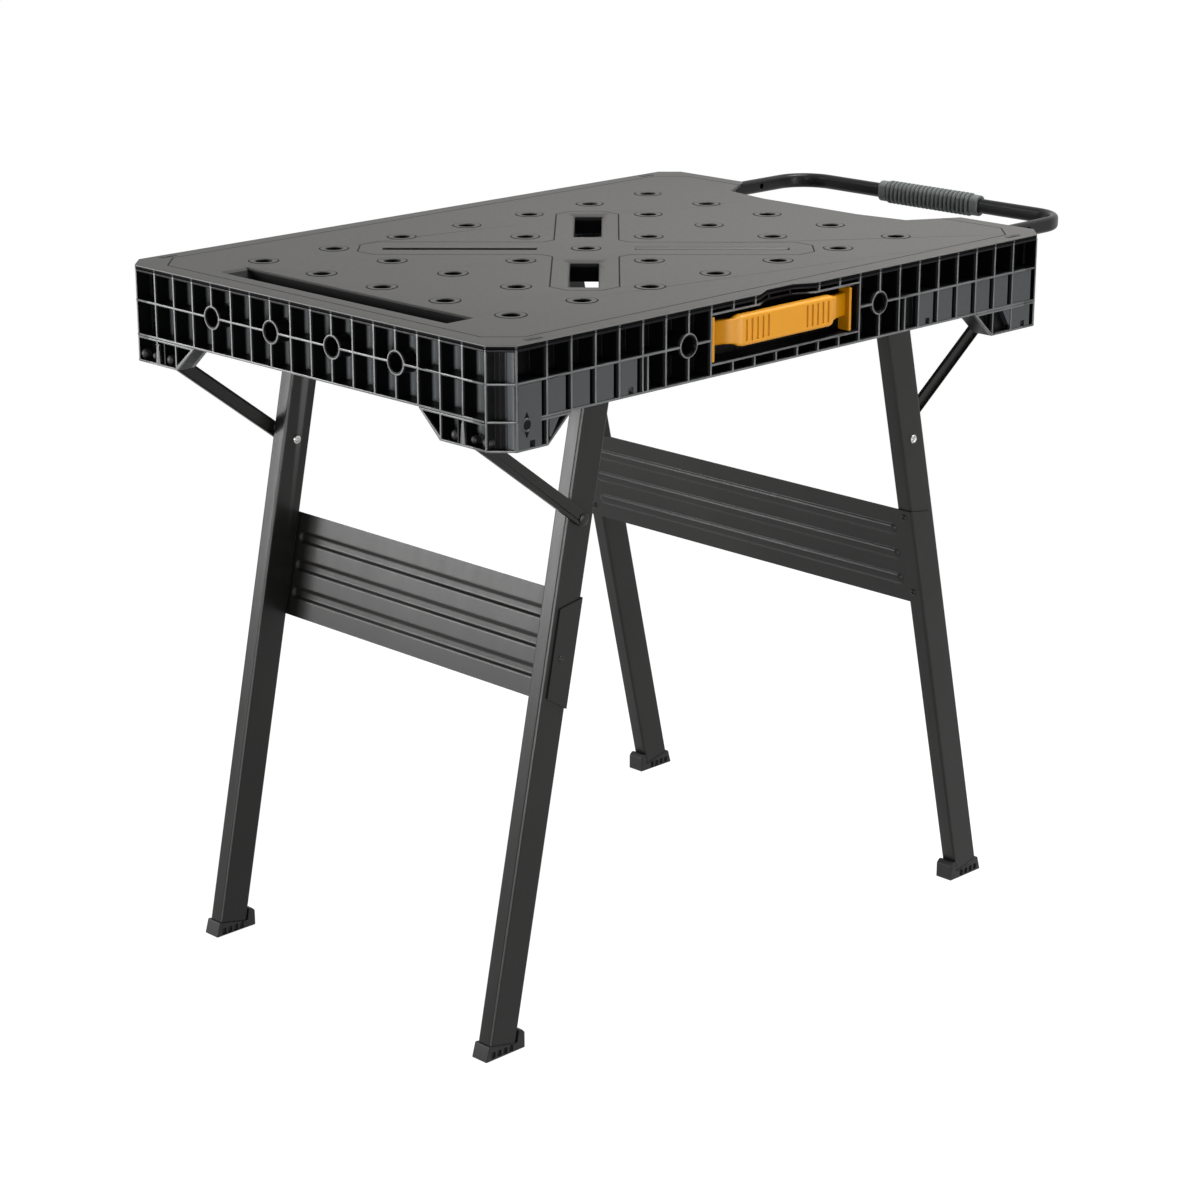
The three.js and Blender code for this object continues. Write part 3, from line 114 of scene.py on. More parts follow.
class Ink:
    """A number that varies over a surface, held as the output of a node."""

    def __init__(self, sheet: "Sheet", socket: bpy.types.NodeSocket) -> None:
        """Keeps the sheet that the number is drawn on and its socket."""
        self.sheet = sheet
        self.socket = socket

    def math(self, operation: str, *others: "Ink | float") -> "Ink":
        """Joins this number with others through a Math node.

        Args:
            operation: The Math node's operation.
            others: The second and third inputs.

        Returns:
            The result.
        """
        node = self.sheet.tree.nodes.new("ShaderNodeMath")
        node.operation = operation
        for socket, value in zip(node.inputs, (self, *others)):
            self.sheet.feed(socket, value)
        return Ink(self.sheet, node.outputs[0])

    def __add__(self, other: "Ink | float") -> "Ink":
        """The sum."""
        return self.math("ADD", other)

    def __sub__(self, other: "Ink | float") -> "Ink":
        """The difference."""
        return self.math("SUBTRACT", other)

    def __mul__(self, other: "Ink | float") -> "Ink":
        """The product."""
        return self.math("MULTIPLY", other)

    def size(self) -> "Ink":
        """The number without its sign."""
        return self.math("ABSOLUTE")

    def most(self, *others: "Ink") -> "Ink":
        """The largest of this number and others."""
        result = self
        for other in others:
            result = result.math("MAXIMUM", other)
        return result

    def least(self, *others: "Ink") -> "Ink":
        """The smallest of this number and others."""
        result = self
        for other in others:
            result = result.math("MINIMUM", other)
        return result

    def remap(self, low: float, high: float, to_low: float, to_high: float) -> "Ink":
        """Stretches a range smoothly onto another.

        Args:
            low: Input at the first end.
            high: Input at the second end.
            to_low: Output at the first end.
            to_high: Output at the second end.

        Returns:
            The stretched number, held inside the new range.
        """
        node = self.sheet.tree.nodes.new("ShaderNodeMapRange")
        node.interpolation_type = "SMOOTHSTEP"
        node.clamp = True
        for name, value in zip(("From Min", "From Max", "To Min", "To Max"), (low, high, to_low, to_high)):
            node.inputs[name].default_value = value
        self.sheet.feed(node.inputs["Value"], self)
        return Ink(self.sheet, node.outputs["Result"])


class Sheet:
    """A material being drawn with nodes."""

    def __init__(self, name: str) -> None:
        """Starts an empty material with one shader."""
        self.material = bpy.data.materials.new(name)
        self.material.use_nodes = True
        self.tree = self.material.node_tree
        self.shader = self.tree.nodes["Principled BSDF"]
        self.where = self.tree.nodes.new("ShaderNodeTexCoord").outputs["Object"]

    def feed(self, socket: bpy.types.NodeSocket, value: "Ink | float") -> None:
        """Links a varying number to a socket, or sets a plain one."""
        if isinstance(value, Ink):
            self.tree.links.new(value.socket, socket)
        else:
            socket.default_value = value

    def place(self) -> tuple[Ink, Ink, Ink]:
        """The three coordinates from the middle of the deck."""
        node = self.tree.nodes.new("ShaderNodeSeparateXYZ")
        self.tree.links.new(self.where, node.inputs[0])
        x, y, z = (Ink(self, output) for output in node.outputs)
        return x - DATUM.x, y - DATUM.y, z

    def noise(self, per_metre: float, detail: float = 2.0, stretch: Point = (1.0, 1.0, 1.0)) -> Ink:
        """A cloudy number from 0 to 1.

        Args:
            per_metre: How many clouds there are in a metre.
            detail: How many finer layers are added.
            stretch: Scale along each axis, under 1 for streaks.

        Returns:
            The cloudy number.
        """
        mapping = self.tree.nodes.new("ShaderNodeMapping")
        mapping.inputs["Scale"].default_value = stretch
        self.tree.links.new(self.where, mapping.inputs["Vector"])
        node = self.tree.nodes.new("ShaderNodeTexNoise")
        node.inputs["Scale"].default_value = per_metre
        node.inputs["Detail"].default_value = detail
        self.tree.links.new(mapping.outputs["Vector"], node.inputs["Vector"])
        return Ink(self, node.outputs[0])

    def marked(self, name: str) -> Ink:
        """A number stored on the piece's points, 0 on pieces without it."""
        node = self.tree.nodes.new("ShaderNodeAttribute")
        node.attribute_name = name
        return Ink(self, node.outputs["Fac"])

    def pebbles(self, per_metre: float) -> Ink:
        """Distance to the nearest of many scattered points, for a leathery grain."""
        node = self.tree.nodes.new("ShaderNodeTexVoronoi")
        node.inputs["Scale"].default_value = per_metre
        self.tree.links.new(self.where, node.inputs["Vector"])
        return Ink(self, node.outputs["Distance"])

    def paint(self, first: Colour, second: Colour, share: Ink) -> bpy.types.NodeSocket:
        """Mixes two colours by a varying share.

        Args:
            first: Colour where the share is 0.
            second: Colour where the share is 1.
            share: The varying share.

        Returns:
            The colour's socket.
        """
        node = self.tree.nodes.new("ShaderNodeMix")
        node.data_type = "RGBA"
        colours = [s for s in node.inputs if s.type == "RGBA"]
        colours[0].default_value = first
        colours[1].default_value = second
        self.feed(node.inputs["Factor"], share)
        return next(s for s in node.outputs if s.type == "RGBA")

    def over(self, under: bpy.types.NodeSocket, colour: Colour, share: Ink) -> bpy.types.NodeSocket:
        """Lays a plain colour over another by a varying share."""
        node = self.tree.nodes.new("ShaderNodeMix")
        node.data_type = "RGBA"
        colours = [s for s in node.inputs if s.type == "RGBA"]
        self.tree.links.new(under, colours[0])
        colours[1].default_value = colour
        self.feed(node.inputs["Factor"], share)
        return next(s for s in node.outputs if s.type == "RGBA")

    def colour(self, socket: bpy.types.NodeSocket) -> None:
        """Gives the shader its colour."""
        self.tree.links.new(socket, self.shader.inputs["Base Color"])

    def relief(self, layers: Iterable[tuple[Ink, float]]) -> None:
        """Stacks bumps on the shader.

        Args:
            layers: Heights from 0 to 1, each with its depth in metres.
        """
        normal = None
        for height, depth in layers:
            node = self.tree.nodes.new("ShaderNodeBump")
            node.inputs["Strength"].default_value = 1.0
            node.inputs["Distance"].default_value = depth
            self.feed(node.inputs["Height"], height)
            if normal is not None:
                self.tree.links.new(normal, node.inputs["Normal"])
            normal = node.outputs["Normal"]
        if normal is not None:
            self.tree.links.new(normal, self.shader.inputs["Normal"])

    def value(self, name: str, value: "Ink | float") -> None:
        """Sets one of the shader's numbers."""
        self.feed(self.shader.inputs[name], value)


def uprights(x: Ink, y: Ink, half: float = 0.0011) -> Ink:
    """1 on the front edges of the skirts' upright ribs, 0 elsewhere.

    Args:
        x: Distance along the bench from its middle.
        y: Distance across the bench from its middle.
        half: Half of a rib's width.

    Returns:
        The share.
    """
    long_pitch, end_pitch = 0.0332, 0.098 / 3
    beside = (x - 0.0987 + 20.5 * long_pitch).math("MODULO", long_pitch) - long_pitch / 2
    beside = beside.size() + x.size().remap(0.38, 0.381, 0.0, 0.1)
    beside = beside.least((x.size() - 0.4065).size())
    across = (y.size().math("MODULO", end_pitch) - end_pitch / 2).size()
    on_side = y.size().remap(HALF_WIDTH - 0.003, HALF_WIDTH - 0.002, 0.0, 1.0)
    on_end = x.size().remap(HALF_LENGTH - 0.003, HALF_LENGTH - 0.002, 0.0, 1.0)
    sharp = (half, half + 0.0002, 1.0, 0.0)
    return (beside.remap(*sharp) * on_side).most(across.remap(*sharp) * on_end)


@dataclass(frozen=True)
class MouldedPlastic:
    """Injection moulded plastic with a fine grain, slight clouding and a satin skin."""

    name: str
    dark: int
    light: int
    roughness: float
    grain_per_m: float
    grain_depth: float
    specular: float = 0.5
    uneven: float = 0.05

    def draw(self) -> Sheet:
        """Draws the clouded, grained skin and returns its sheet."""
        sheet = Sheet(self.name)
        clouds = sheet.noise(7.0, 2.0).remap(0.3, 0.7, 0.0, 1.0)
        flow = sheet.noise(150.0, 3.0)
        sheet.colour(sheet.paint(tone(self.dark), tone(self.light), clouds * 0.4 + flow * 0.6))
        sheet.value("Roughness", flow.remap(0.3, 0.7, self.roughness - self.uneven, self.roughness + self.uneven))
        sheet.value("Specular IOR Level", self.specular)
        grain = sheet.pebbles(self.grain_per_m)
        sheet.relief([(grain, self.grain_depth)])
        return sheet

    def material(self) -> bpy.types.Material:
        """The finished material."""
        return self.draw().material


@dataclass(frozen=True)
class DeckPlastic(MouldedPlastic):
    """The deck's grained plastic with its fine moulded border and cross lines, painted shade in its grooves, slots and
    recesses, and painted highlights on the grooves' far lips and the rim's top edge.
    """

    border_inset: float = 0.0215
    corner_cut: float = 0.03
    grid_x: float = -0.0175
    pitch: tuple[float, float] = (0.0996, 0.098)
    ring_r: float = 0.0162
    rim: float = 0.0014
    shade_depth: tuple[float, float] = (0.0018, 0.0032)
    arm_half: float = 0.0365
    slot_reach: float = 0.229
    groove_reach: float = 0.252
    tip_cut: float = 0.018
    heart_cut: float = 0.012
    line_half: float = 0.0006
    groove_span: tuple[float, float] = (0.054, 0.226)
    groove_half: float = 0.008

    def material(self) -> bpy.types.Material:
        """The finished material."""
        sheet = self.draw()
        x, y, z = sheet.place()
        along, across = x.size(), y.size()
        reach_x, reach_y = HALF_LENGTH - self.border_inset, HALF_WIDTH - self.border_inset
        border = (along - reach_x).most(
            across - reach_y, (along + across - (reach_x + reach_y - self.corner_cut)) * math.sqrt(0.5)
        )
        shifted = x - self.grid_x
        toward = (shifted + y) * math.sqrt(0.5)
        a = toward.size()
        b = ((shifted - y) * math.sqrt(0.5)).size()
        both = a + b
        arms = [
            (p - reach).most(q - self.arm_half, (both - (reach + self.arm_half - self.tip_cut)) * math.sqrt(0.5))
            for p, q, reach in ((a, b, self.slot_reach), (b, a, self.groove_reach))
        ]
        heart = (both - (2 * self.arm_half + self.heart_cut)) * math.sqrt(0.5)
        cross = arms[0].least(arms[1], heart)
        rings = self.rings(shifted.size(), across)
        nearest = border.size().least(cross.size(), rings.size())
        lines = nearest.remap(self.line_half, 1.7 * self.line_half, 1.0, 0.0)
        painted = sheet.shader.inputs["Base Color"].links[0].from_socket
        low, high = self.groove_span
        along_groove = b.remap(low, low + 0.001, 0.0, 1.0) * b.remap(high - 0.001, high, 1.0, 0.0)
        middle = self.groove_half - 0.0095
        # Painted shade in the grooves' troughs, drawn near-black together with the moulded lines.
        groove_shade = (toward - middle).size().remap(0.0069, 0.0073, 1.0, 0.0) * along_groove
        # Painted highlight on the far lip of each groove.
        far_lip_highlight = (toward - self.groove_half + 0.0011).size().remap(0.0013, 0.0016, 1.0, 0.0) * along_groove
        lip_lit = sheet.over(painted, tone(0x5E5D5B), far_lip_highlight)
        lines = lines.most(groove_shade)
        lined = sheet.over(lip_lit, tone(0x080808), lines)
        below = z * -1.0 + DECK_TOP
        shaded = sheet.over(lined, tone(0x161616), below.remap(*self.shade_depth, 0.0, 1.0))
        # Painted shade deep in the slots.
        slot_shade = below.remap(0.004, 0.008, 0.0, 1.0) * x.remap(-0.34, -0.335, 0.0, 1.0)
        sunk = sheet.over(shaded, tone(0x060606), slot_shade)
        # Painted light on the rim: a light band just under the top edge as a painted highlight, the rest near-black as
        # painted shade under it, and the ribs' painted face light where they meet the rim.
        at_rim = (along * -1.0 + HALF_LENGTH).least(across * -1.0 + HALF_WIDTH).remap(0.012, 0.016, 1.0, 0.0)
        edge = below.remap(self.rim, self.rim + 0.0004, 0.0, 1.0) * at_rim
        rim_highlight = below.remap(0.0001, 0.0003, 0.0, 1.0) * below.remap(self.rim, self.rim + 0.0002, 1.0, 0.0) * at_rim
        rim_highlighted = sheet.over(sunk, tone(0x5C5C5A), rim_highlight)
        rim_shaded = sheet.over(rim_highlighted, tone(0x08080A), edge)
        sheet.colour(sheet.over(rim_shaded, tone(0x4B4C4C), edge * uprights(x, y)))
        dull = lines.most(slot_shade, edge, far_lip_highlight * 0.35, below.remap(*self.shade_depth, 0.0, 0.6))
        sheet.value("Specular IOR Level", dull.remap(0.0, 1.0, self.specular, 0.02))
        grain = sheet.pebbles(self.grain_per_m)
        hollow = lines.remap(0.0, 1.0, 1.0, 0.0)
        sheet.relief([(grain, self.grain_depth), (hollow, 0.0006)])
        return sheet.material

    def rings(self, along: Ink, across: Ink) -> Ink:
        """Distance to the ring line round the nearest dog hole, far away at slots and grooves.

        Args:
            along: Distance along the bench from the middle of the grid.
            across: Distance across the bench from the middle of the grid.

        Returns:
            The signed distance to the ring.
        """
        near = []
        for value, pitch in zip((along, across), self.pitch):
            near.append((value + pitch / 2).math("MODULO", pitch) - pitch / 2)
        radius = (near[0] * near[0] + near[1] * near[1]).math("SQRT")
        off = [(value - pitch).size() for value, pitch in zip((along, across), self.pitch)]
        taken = off[0].most(off[1]).remap(0.03, 0.031, 1.0, 0.0)
        outside = along.remap(0.33, 0.335, 0.0, 1.0).most(across.remap(0.24, 0.245, 0.0, 1.0))
        return radius - self.ring_r + (taken + outside) * 0.1


@dataclass(frozen=True)
class SkirtPlastic(MouldedPlastic):
    """Skirt plastic whose rib faces are drawn lighter as painted light, varied by scuffs, with painted shade in its
    cells, deep pockets and socket mouths.
    """

    lit_front_tone: int = 0x5F6060
    lit_end_tone: int = 0x676868
    # Painted sheen tone of the corner posts.
    post_sheen_tone: int = 0x787B7E
    # Painted shade tone for pockets, cells and socket mouths.
    pocket: int = 0x050506
    # Painted light tone for the back walls of the end cells.
    back: int = 0x7C7F81
    corner_cut: float = 0.021
    lit_face_depth: float = 0.00022
    rib_top: float = 0.7715
    end_back: float = 0.0205
    pocket_start: float = 0.0015
    pocket_end: float = 0.005
    end_wall: float = 0.018
    mid_z: float = 0.74125
    mouth_r: float = 0.0114
    side_sockets: tuple[float, float] = (-0.1669, 0.1319)
    end_pitch: float = 0.098
    eye: tuple[float, float, float] = (-0.3938, 0.6992, 0.0051)

    def material(self) -> bpy.types.Material:
        """The finished material."""
        sheet = self.draw()
        x, y, z = sheet.place()
        from_end = x.size() * -1.0 + HALF_LENGTH
        from_side = y.size() * -1.0 + HALF_WIDTH
        from_corner = (from_end + from_side - self.corner_cut) * math.sqrt(0.5)
        depth = from_end.least(from_side, from_corner)
        scuff = sheet.noise(55.0, 4.0).remap(0.25, 0.75, 0.55, 1.0)
        under_deck = z.remap(self.rib_top, self.rib_top + 0.0005, 1.0, 0.0).most(uprights(x, y))
        # Painted light: the outer faces of the ribs are drawn lighter, as lit faces, varied by the scuff noise.
        face_light_and_scuff = depth.remap(0.5 * self.lit_face_depth, self.lit_face_depth, 1.0, 0.0) * scuff * under_deck
        # Painted light on the back walls of the end cells.
        back_wall_light = from_end.remap(self.end_back - 0.0035, self.end_back + 0.0008, 0.0, 1.0) * from_end.remap(
            self.end_back + 0.0055, self.end_back + 0.006, 1.0, 0.0
        )
        back_wall_light = back_wall_light * from_side.remap(0.0245, 0.0252, 0.0, 1.0)
        mouth = self.mouths(x, y, z)
        face_light_and_scuff = face_light_and_scuff * (mouth * -1.0 + 1.0)
        # Painted shade: the deep pockets, the cells, the band under the deck's lip, the dark side of the corner posts
        # and the socket mouths are drawn near-black and duller.
        painted_shade = from_side.remap(self.pocket_start, self.pocket_end, 0.0, 1.0) * from_end.remap(
            self.end_wall, self.end_wall + 0.004, 0.0, 1.0
        )
        painted = sheet.shader.inputs["Base Color"].links[0].from_socket
        lean = from_side - from_end
        on_post = (from_end + from_side).remap(0.0405, 0.041, 1.0, 0.0) * from_corner.remap(0.001, 0.0014, 0.0, 1.0)
        shade = on_post * lean.remap(-0.006, -0.003, 0.0, 1.0).most(x.remap(0.0, 0.01, 0.0, 1.0))
        in_cell = from_end.remap(0.001, 0.003, 0.0, 1.0) * from_end.remap(self.end_back, self.end_back + 0.0004, 1.0, 0.0)
        in_cell = in_cell * from_side.remap(self.corner_cut + 0.002, self.corner_cut + 0.003, 0.0, 1.0)
        painted_shade = painted_shade.most(shade, in_cell, under_deck * -1.0 + 1.0, mouth)
        darkened = sheet.over(painted, tone(self.pocket), painted_shade)
        # Painted sheen: a light strip on the lit side of the chamfered corner posts.
        post_sheen_share = on_post * lean.remap(-0.0085, -0.0065, 1.0, 0.0) * x.remap(0.0, 0.01, 1.0, 0.0)
        post_sheen_share = post_sheen_share * from_end.remap(0.0221, 0.0224, 1.0, 0.0)
        banded = sheet.over(darkened, tone(self.post_sheen_tone), post_sheen_share)
        lit = sheet.over(banded, tone(self.back), back_wall_light)
        # Painted light on the rib faces: lighter on the faces toward the ends than on the long sides.
        ends = sheet.over(lit, tone(self.lit_end_tone), face_light_and_scuff * lean.remap(-0.002, 0.002, 0.0, 1.0))
        sheet.colour(sheet.over(ends, tone(self.lit_front_tone), face_light_and_scuff * lean.remap(-0.002, 0.002, 1.0, 0.0)))
        sheet.value("Specular IOR Level", painted_shade.remap(0.0, 1.0, self.specular, 0.1))
        return sheet.material

    def mouths(self, x: Ink, y: Ink, z: Ink) -> Ink:
        """1 inside the rims of the round sockets, 0 elsewhere, where painted shade goes.

        Args:
            x: Distance along the bench from its middle.
            y: Distance across the bench from its middle.
            z: Height above the floor.

        Returns:
            The share.
        """
        up = (z - self.mid_z) * (z - self.mid_z)
        end = ((y.size() - self.end_pitch).size() - self.end_pitch / 2)
        near_end = (end * end + up).math("SQRT") + x.size().remap(HALF_LENGTH - 0.004, HALF_LENGTH - 0.003, 1.0, 0.0)
        spots = [((x - place) * (x - place) + up).math("SQRT") for place in self.side_sockets]
        near_side = spots[0].least(spots[1]) + y.size().remap(HALF_WIDTH - 0.004, HALF_WIDTH - 0.003, 1.0, 0.0)
        rise, beside = z - self.eye[1], x - self.eye[0]
        eye = (rise * rise + beside * beside).math("SQRT") + (self.mouth_r - self.eye[2])
        return near_end.least(near_side, eye).remap(self.mouth_r, self.mouth_r + 0.0003, 1.0, 0.0)


@dataclass(frozen=True)
class HandlePlastic(MouldedPlastic):
    """The handle's yellow plastic, with painted shade, deeper in tone and duller, where it runs back into its window.
    """

    # Painted shade tone of the handle's recessed part.
    deep: int = 0x9E6703
    sunk: tuple[float, float] = (-0.0035, 0.0045)

    def material(self) -> bpy.types.Material:
        """The finished material."""
        sheet = self.draw()
        _, y, _ = sheet.place()
        # Painted shade where the handle sits back behind the skirt's face.
        behind = (y.size() * -1.0 + HALF_WIDTH).remap(*self.sunk, 0.0, 1.0)
        painted = sheet.shader.inputs["Base Color"].links[0].from_socket
        sheet.colour(sheet.over(painted, tone(self.deep), behind))
        sheet.value("Specular IOR Level", behind.remap(0.0, 1.0, self.specular, 0.05))
        return sheet.material


@dataclass(frozen=True)
class PowderCoat:
    """Baked coating on steel: a satin skin with a faint orange peel, handling marks and a painted highlight on marked
    edges.
    """

    name: str
    dark: int
    light: int
    roughness: float
    specular: float = 0.25
    edge_highlight_tone: int = 0x626262

    def material(self) -> bpy.types.Material:
        """The finished material."""
        sheet = Sheet(self.name)
        drift = sheet.noise(14.0, 3.0).remap(0.3, 0.7, 0.0, 1.0)
        painted = sheet.paint(tone(self.dark), tone(self.light), drift)
        # Painted highlight along the lengthwise edges marked on the left legs.
        sheet.colour(sheet.over(painted, tone(self.edge_highlight_tone), sheet.marked("edge_highlight").remap(0.6, 0.95, 0.0, 0.9)))
        marks = sheet.noise(70.0, 4.0, (1.0, 1.0, 0.12))
        sheet.value("Roughness", marks.remap(0.35, 0.7, self.roughness - 0.015, self.roughness + 0.025))
        sheet.value("Specular IOR Level", self.specular)
        sheet.relief([(sheet.noise(700.0, 1.0), 0.00006)])
        return sheet.material


@dataclass(frozen=True)
class ZincSteel:
    """Bright plated steel with drawn streaks."""

    name: str
    dark: int
    light: int
    roughness: float

    def material(self) -> bpy.types.Material:
        """The finished material."""
        sheet = Sheet(self.name)
        streaks = sheet.noise(240.0, 3.0, (1.0, 0.08, 1.0))
        sheet.colour(sheet.paint(tone(self.dark), tone(self.light), streaks.remap(0.3, 0.7, 0.0, 1.0)))
        sheet.value("Metallic", 1.0)
        sheet.value("Roughness", streaks.remap(0.3, 0.7, self.roughness - 0.06, self.roughness + 0.1))
        sheet.relief([(streaks, 0.00003)])
        return sheet.material


@dataclass(frozen=True)
class GripRubber:
    """Soft grey rubber with a dry, dusty skin and painted shade in the gaps between its rings."""

    name: str
    dark: int
    light: int
    gap: int = 0x1D1F1F
    reach: float = 0.069
    pitch: float = 0.138 / 21

    def material(self) -> bpy.types.Material:
        """The finished material."""
        sheet = Sheet(self.name)
        dust = sheet.noise(120.0, 4.0)
        painted = sheet.paint(tone(self.dark), tone(self.light), dust.remap(0.35, 0.7, 0.0, 1.0))
        _, y, _ = sheet.place()
        # Painted shade in the gaps between the rings.
        phase = ((y + self.reach) * (1 / self.pitch)).math("FRACT") - 0.5
        gap_shade = phase.size().remap(0.17, 0.25, 1.0, 0.0) * y.size().remap(self.reach, self.reach + 0.0003, 1.0, 0.0)
        sheet.colour(sheet.over(painted, tone(self.gap), gap_shade))
        sheet.value("Roughness", dust.remap(0.3, 0.7, 0.62, 0.8))
        sheet.relief([(sheet.noise(1500.0, 2.0), 0.00008)])
        return sheet.material


FINISHES = {
    Slot.DECK: DeckPlastic("deck_grain", 0x3C3B39, 0x3F3E3C, 0.5, 1500.0, 0.000005, 0.27, 0.012),
    Slot.BLACK: SkirtPlastic("skirt_moulding", 0x242527, 0x2B2C2E, 0.36, 1400.0, 0.00003),
    Slot.YELLOW: HandlePlastic("handle_yellow", 0xBB7D12, 0xC38518, 0.42, 1600.0, 0.00002, 0.36),
    Slot.STEEL: PowderCoat("frame_coat", 0x171615, 0x1C1B1A, 0.33, 0.23),
    Slot.BAR: PowderCoat("bar_coat", 0x101011, 0x151516, 0.34, 0.2),
    Slot.GRIP: GripRubber("grip_grey", 0x565B5A, 0x646967),
    Slot.ZINC: ZincSteel("pin_zinc", 0x9C9C9A, 0xC0C0BE, 0.3),
    Slot.FOOT: MouldedPlastic("foot_moulding", 0x131314, 0x19191A, 0.5, 1100.0, 0.00005, 0.3),
    Slot.SHOE: MouldedPlastic("track_moulding", 0x25282A, 0x2A2D2F, 0.42, 1400.0, 0.00002),
}


class Shop:
    """Blender's operators as bench tools: pick, edit, shape, finish."""

    materials: dict[Slot, bpy.types.Material] = {}

    @staticmethod
    def alone(obj: bpy.types.Object) -> None:
        """Makes one object the only selected and the active one."""
        if bpy.context.object is not None and bpy.context.object.mode != "OBJECT":
            bpy.ops.object.mode_set(mode="OBJECT")
        bpy.ops.object.select_all(action="DESELECT")
        obj.select_set(True)
        bpy.context.view_layer.objects.active = obj

    @classmethod
    def edit(cls, obj: bpy.types.Object) -> None:
        """Opens an object in edit mode with all of it selected."""
        cls.alone(obj)
        bpy.ops.object.mode_set(mode="EDIT")
        bpy.ops.mesh.select_all(action="SELECT")

    @staticmethod
    def leave() -> None:
        """Goes back to object mode."""
        bpy.ops.object.mode_set(mode="OBJECT")

    @classmethod
    def settle(cls, obj: bpy.types.Object) -> None:
        """Puts an object's place, turn and scale into its mesh."""
        cls.alone(obj)
        bpy.ops.object.transform_apply(location=True, rotation=True, scale=True)

    @classmethod
    def soften(cls, obj: bpy.types.Object, width: float, segments: int = 2, angle: float = 32.0) -> None:
        """Rounds the sharp edges of an object and smooths the rest.

        Args:
            obj: The object.
            width: Width of the rounding in metres.
            segments: How many faces each rounding has.
            angle: Edges sharper than this many degrees are rounded.
        """
        cls.alone(obj)
        if width > 0:
            bevel = obj.modifiers.new("soften", "BEVEL")
            bevel.width = width
            bevel.segments = segments
            bevel.limit_method = "ANGLE"
            bevel.angle_limit = math.radians(angle)
            bevel.use_clamp_overlap = False
            bevel.loop_slide = False
            bevel.miter_outer = "MITER_ARC"
            bpy.ops.object.modifier_apply(modifier=bevel.name)
        cls.smooth(obj, angle)

    @classmethod
    def smooth(cls, obj: bpy.types.Object, angle: float = 32.0) -> None:
        """Smooths gentle edges and keeps the large faces flat."""
        cls.alone(obj)
        bpy.ops.object.shade_smooth_by_angle(angle=math.radians(angle))
        flats = obj.modifiers.new("flats", "WEIGHTED_NORMAL")
        flats.keep_sharp = True
        flats.weight = 90
        bpy.ops.object.modifier_apply(modifier=flats.name)

    @classmethod
    def pick(cls, obj: bpy.types.Object, test: Callable[[Vector], bool]) -> None:
        """Opens an object in edit mode with only the points that pass a test selected."""
        cls.edit(obj)
        bpy.ops.mesh.select_all(action="DESELECT")
        bpy.ops.mesh.select_mode(type="VERT")
        cls.leave()
        for vertex in obj.data.vertices:
            vertex.select = test(vertex.co)
        bpy.ops.object.mode_set(mode="EDIT")

    @classmethod
    def copy_of(cls, node: str, name: str) -> bpy.types.Object:
        """A welded copy of a CAD node.

        Args:
            node: The CAD node.
            name: Name of the copy.

        Returns:
            The copy, which rides on nothing yet.
        """
        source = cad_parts[node]
        mesh = source.data.copy()
        mesh.materials.clear()
        obj = bpy.data.objects.new(name, mesh)
        bpy.context.scene.collection.objects.link(obj)
        cls.edit(obj)
        bpy.ops.mesh.remove_doubles(threshold=2e-5)
        cls.leave()
        return obj

    @classmethod
    def block(cls, name: str, low: Point, high: Point) -> bpy.types.Object:
        """A cube primitive stretched between two corners, to be shaped further."""
        middle = [(a + b) / 2 for a, b in zip(low, high)]
        bpy.ops.object.select_all(action="DESELECT")
        bpy.ops.mesh.primitive_cube_add(size=1.0, location=middle)
        obj = bpy.context.object
        obj.name = name
        obj.scale = [abs(b - a) for a, b in zip(low, high)]
        cls.settle(obj)
        return obj

    @classmethod
    def spun(
        cls, name: str, profile: Profile, centre: Point, axis: Axis, steps: int = 40, flip: bool = False
    ) -> bpy.types.Object:
        """Spins a profile round an axis.

        Args:
            name: Name of the piece.
            profile: Radius and height of each corner, in metres.
            centre: Where height 0 lies on the axis.
            axis: The axis that the piece stands along.
            steps: How many steps the turn takes.
            flip: Whether heights run against the axis.

        Returns:
            The spun piece.
        """
        bpy.ops.object.select_all(action="DESELECT")
        bpy.ops.mesh.primitive_plane_add(size=0.001, location=(0, 0, 0))
        obj = bpy.context.object
        obj.name = name
        cls.edit(obj)
        bpy.ops.mesh.merge(type="CENTER")
        bpy.ops.transform.translate(value=(profile[0][0], 0, profile[0][1]))
        for (r0, h0), (r1, h1) in zip(profile, profile[1:]):
            bpy.ops.mesh.extrude_region_move(TRANSFORM_OT_translate={"value": (r1 - r0, 0, h1 - h0)})
        bpy.ops.mesh.select_all(action="SELECT")
        bpy.ops.mesh.spin(steps=steps, angle=2 * math.pi, center=(0, 0, 0), axis=(0, 0, 1))
        bpy.ops.mesh.select_all(action="SELECT")
        bpy.ops.mesh.remove_doubles(threshold=2e-6)
        bpy.ops.mesh.normals_make_consistent(inside=False)
        cls.leave()
        turns = {
            Axis.X: (0, math.pi / 2 * (-1 if flip else 1), 0),
            Axis.Y: (math.pi / 2 * (1 if flip else -1), 0, 0),
            Axis.Z: (math.pi if flip else 0, 0, 0),
        }
        obj.rotation_euler = turns[axis]
        obj.location = centre
        cls.settle(obj)
        cls.smooth(obj, 38.0)
        return obj

    @classmethod
    def repeated(
        cls, name: str, first: bpy.types.Object, shifts: Iterable[Sequence[float]]
    ) -> bpy.types.Object:
        """Copies a piece to several places and joins the copies.

        Args:
            name: Name of the joined piece.
            first: The piece to repeat, which stays where it is.
            shifts: How far each copy moves.

        Returns:
            The joined piece.
        """
        copies = []
        for shift in shifts:
            copy = first.copy()
            copy.data = first.data.copy()
            copy.location = shift
            bpy.context.scene.collection.objects.link(copy)
            copies.append(copy)
        return cls.joined(name, [first, *copies])

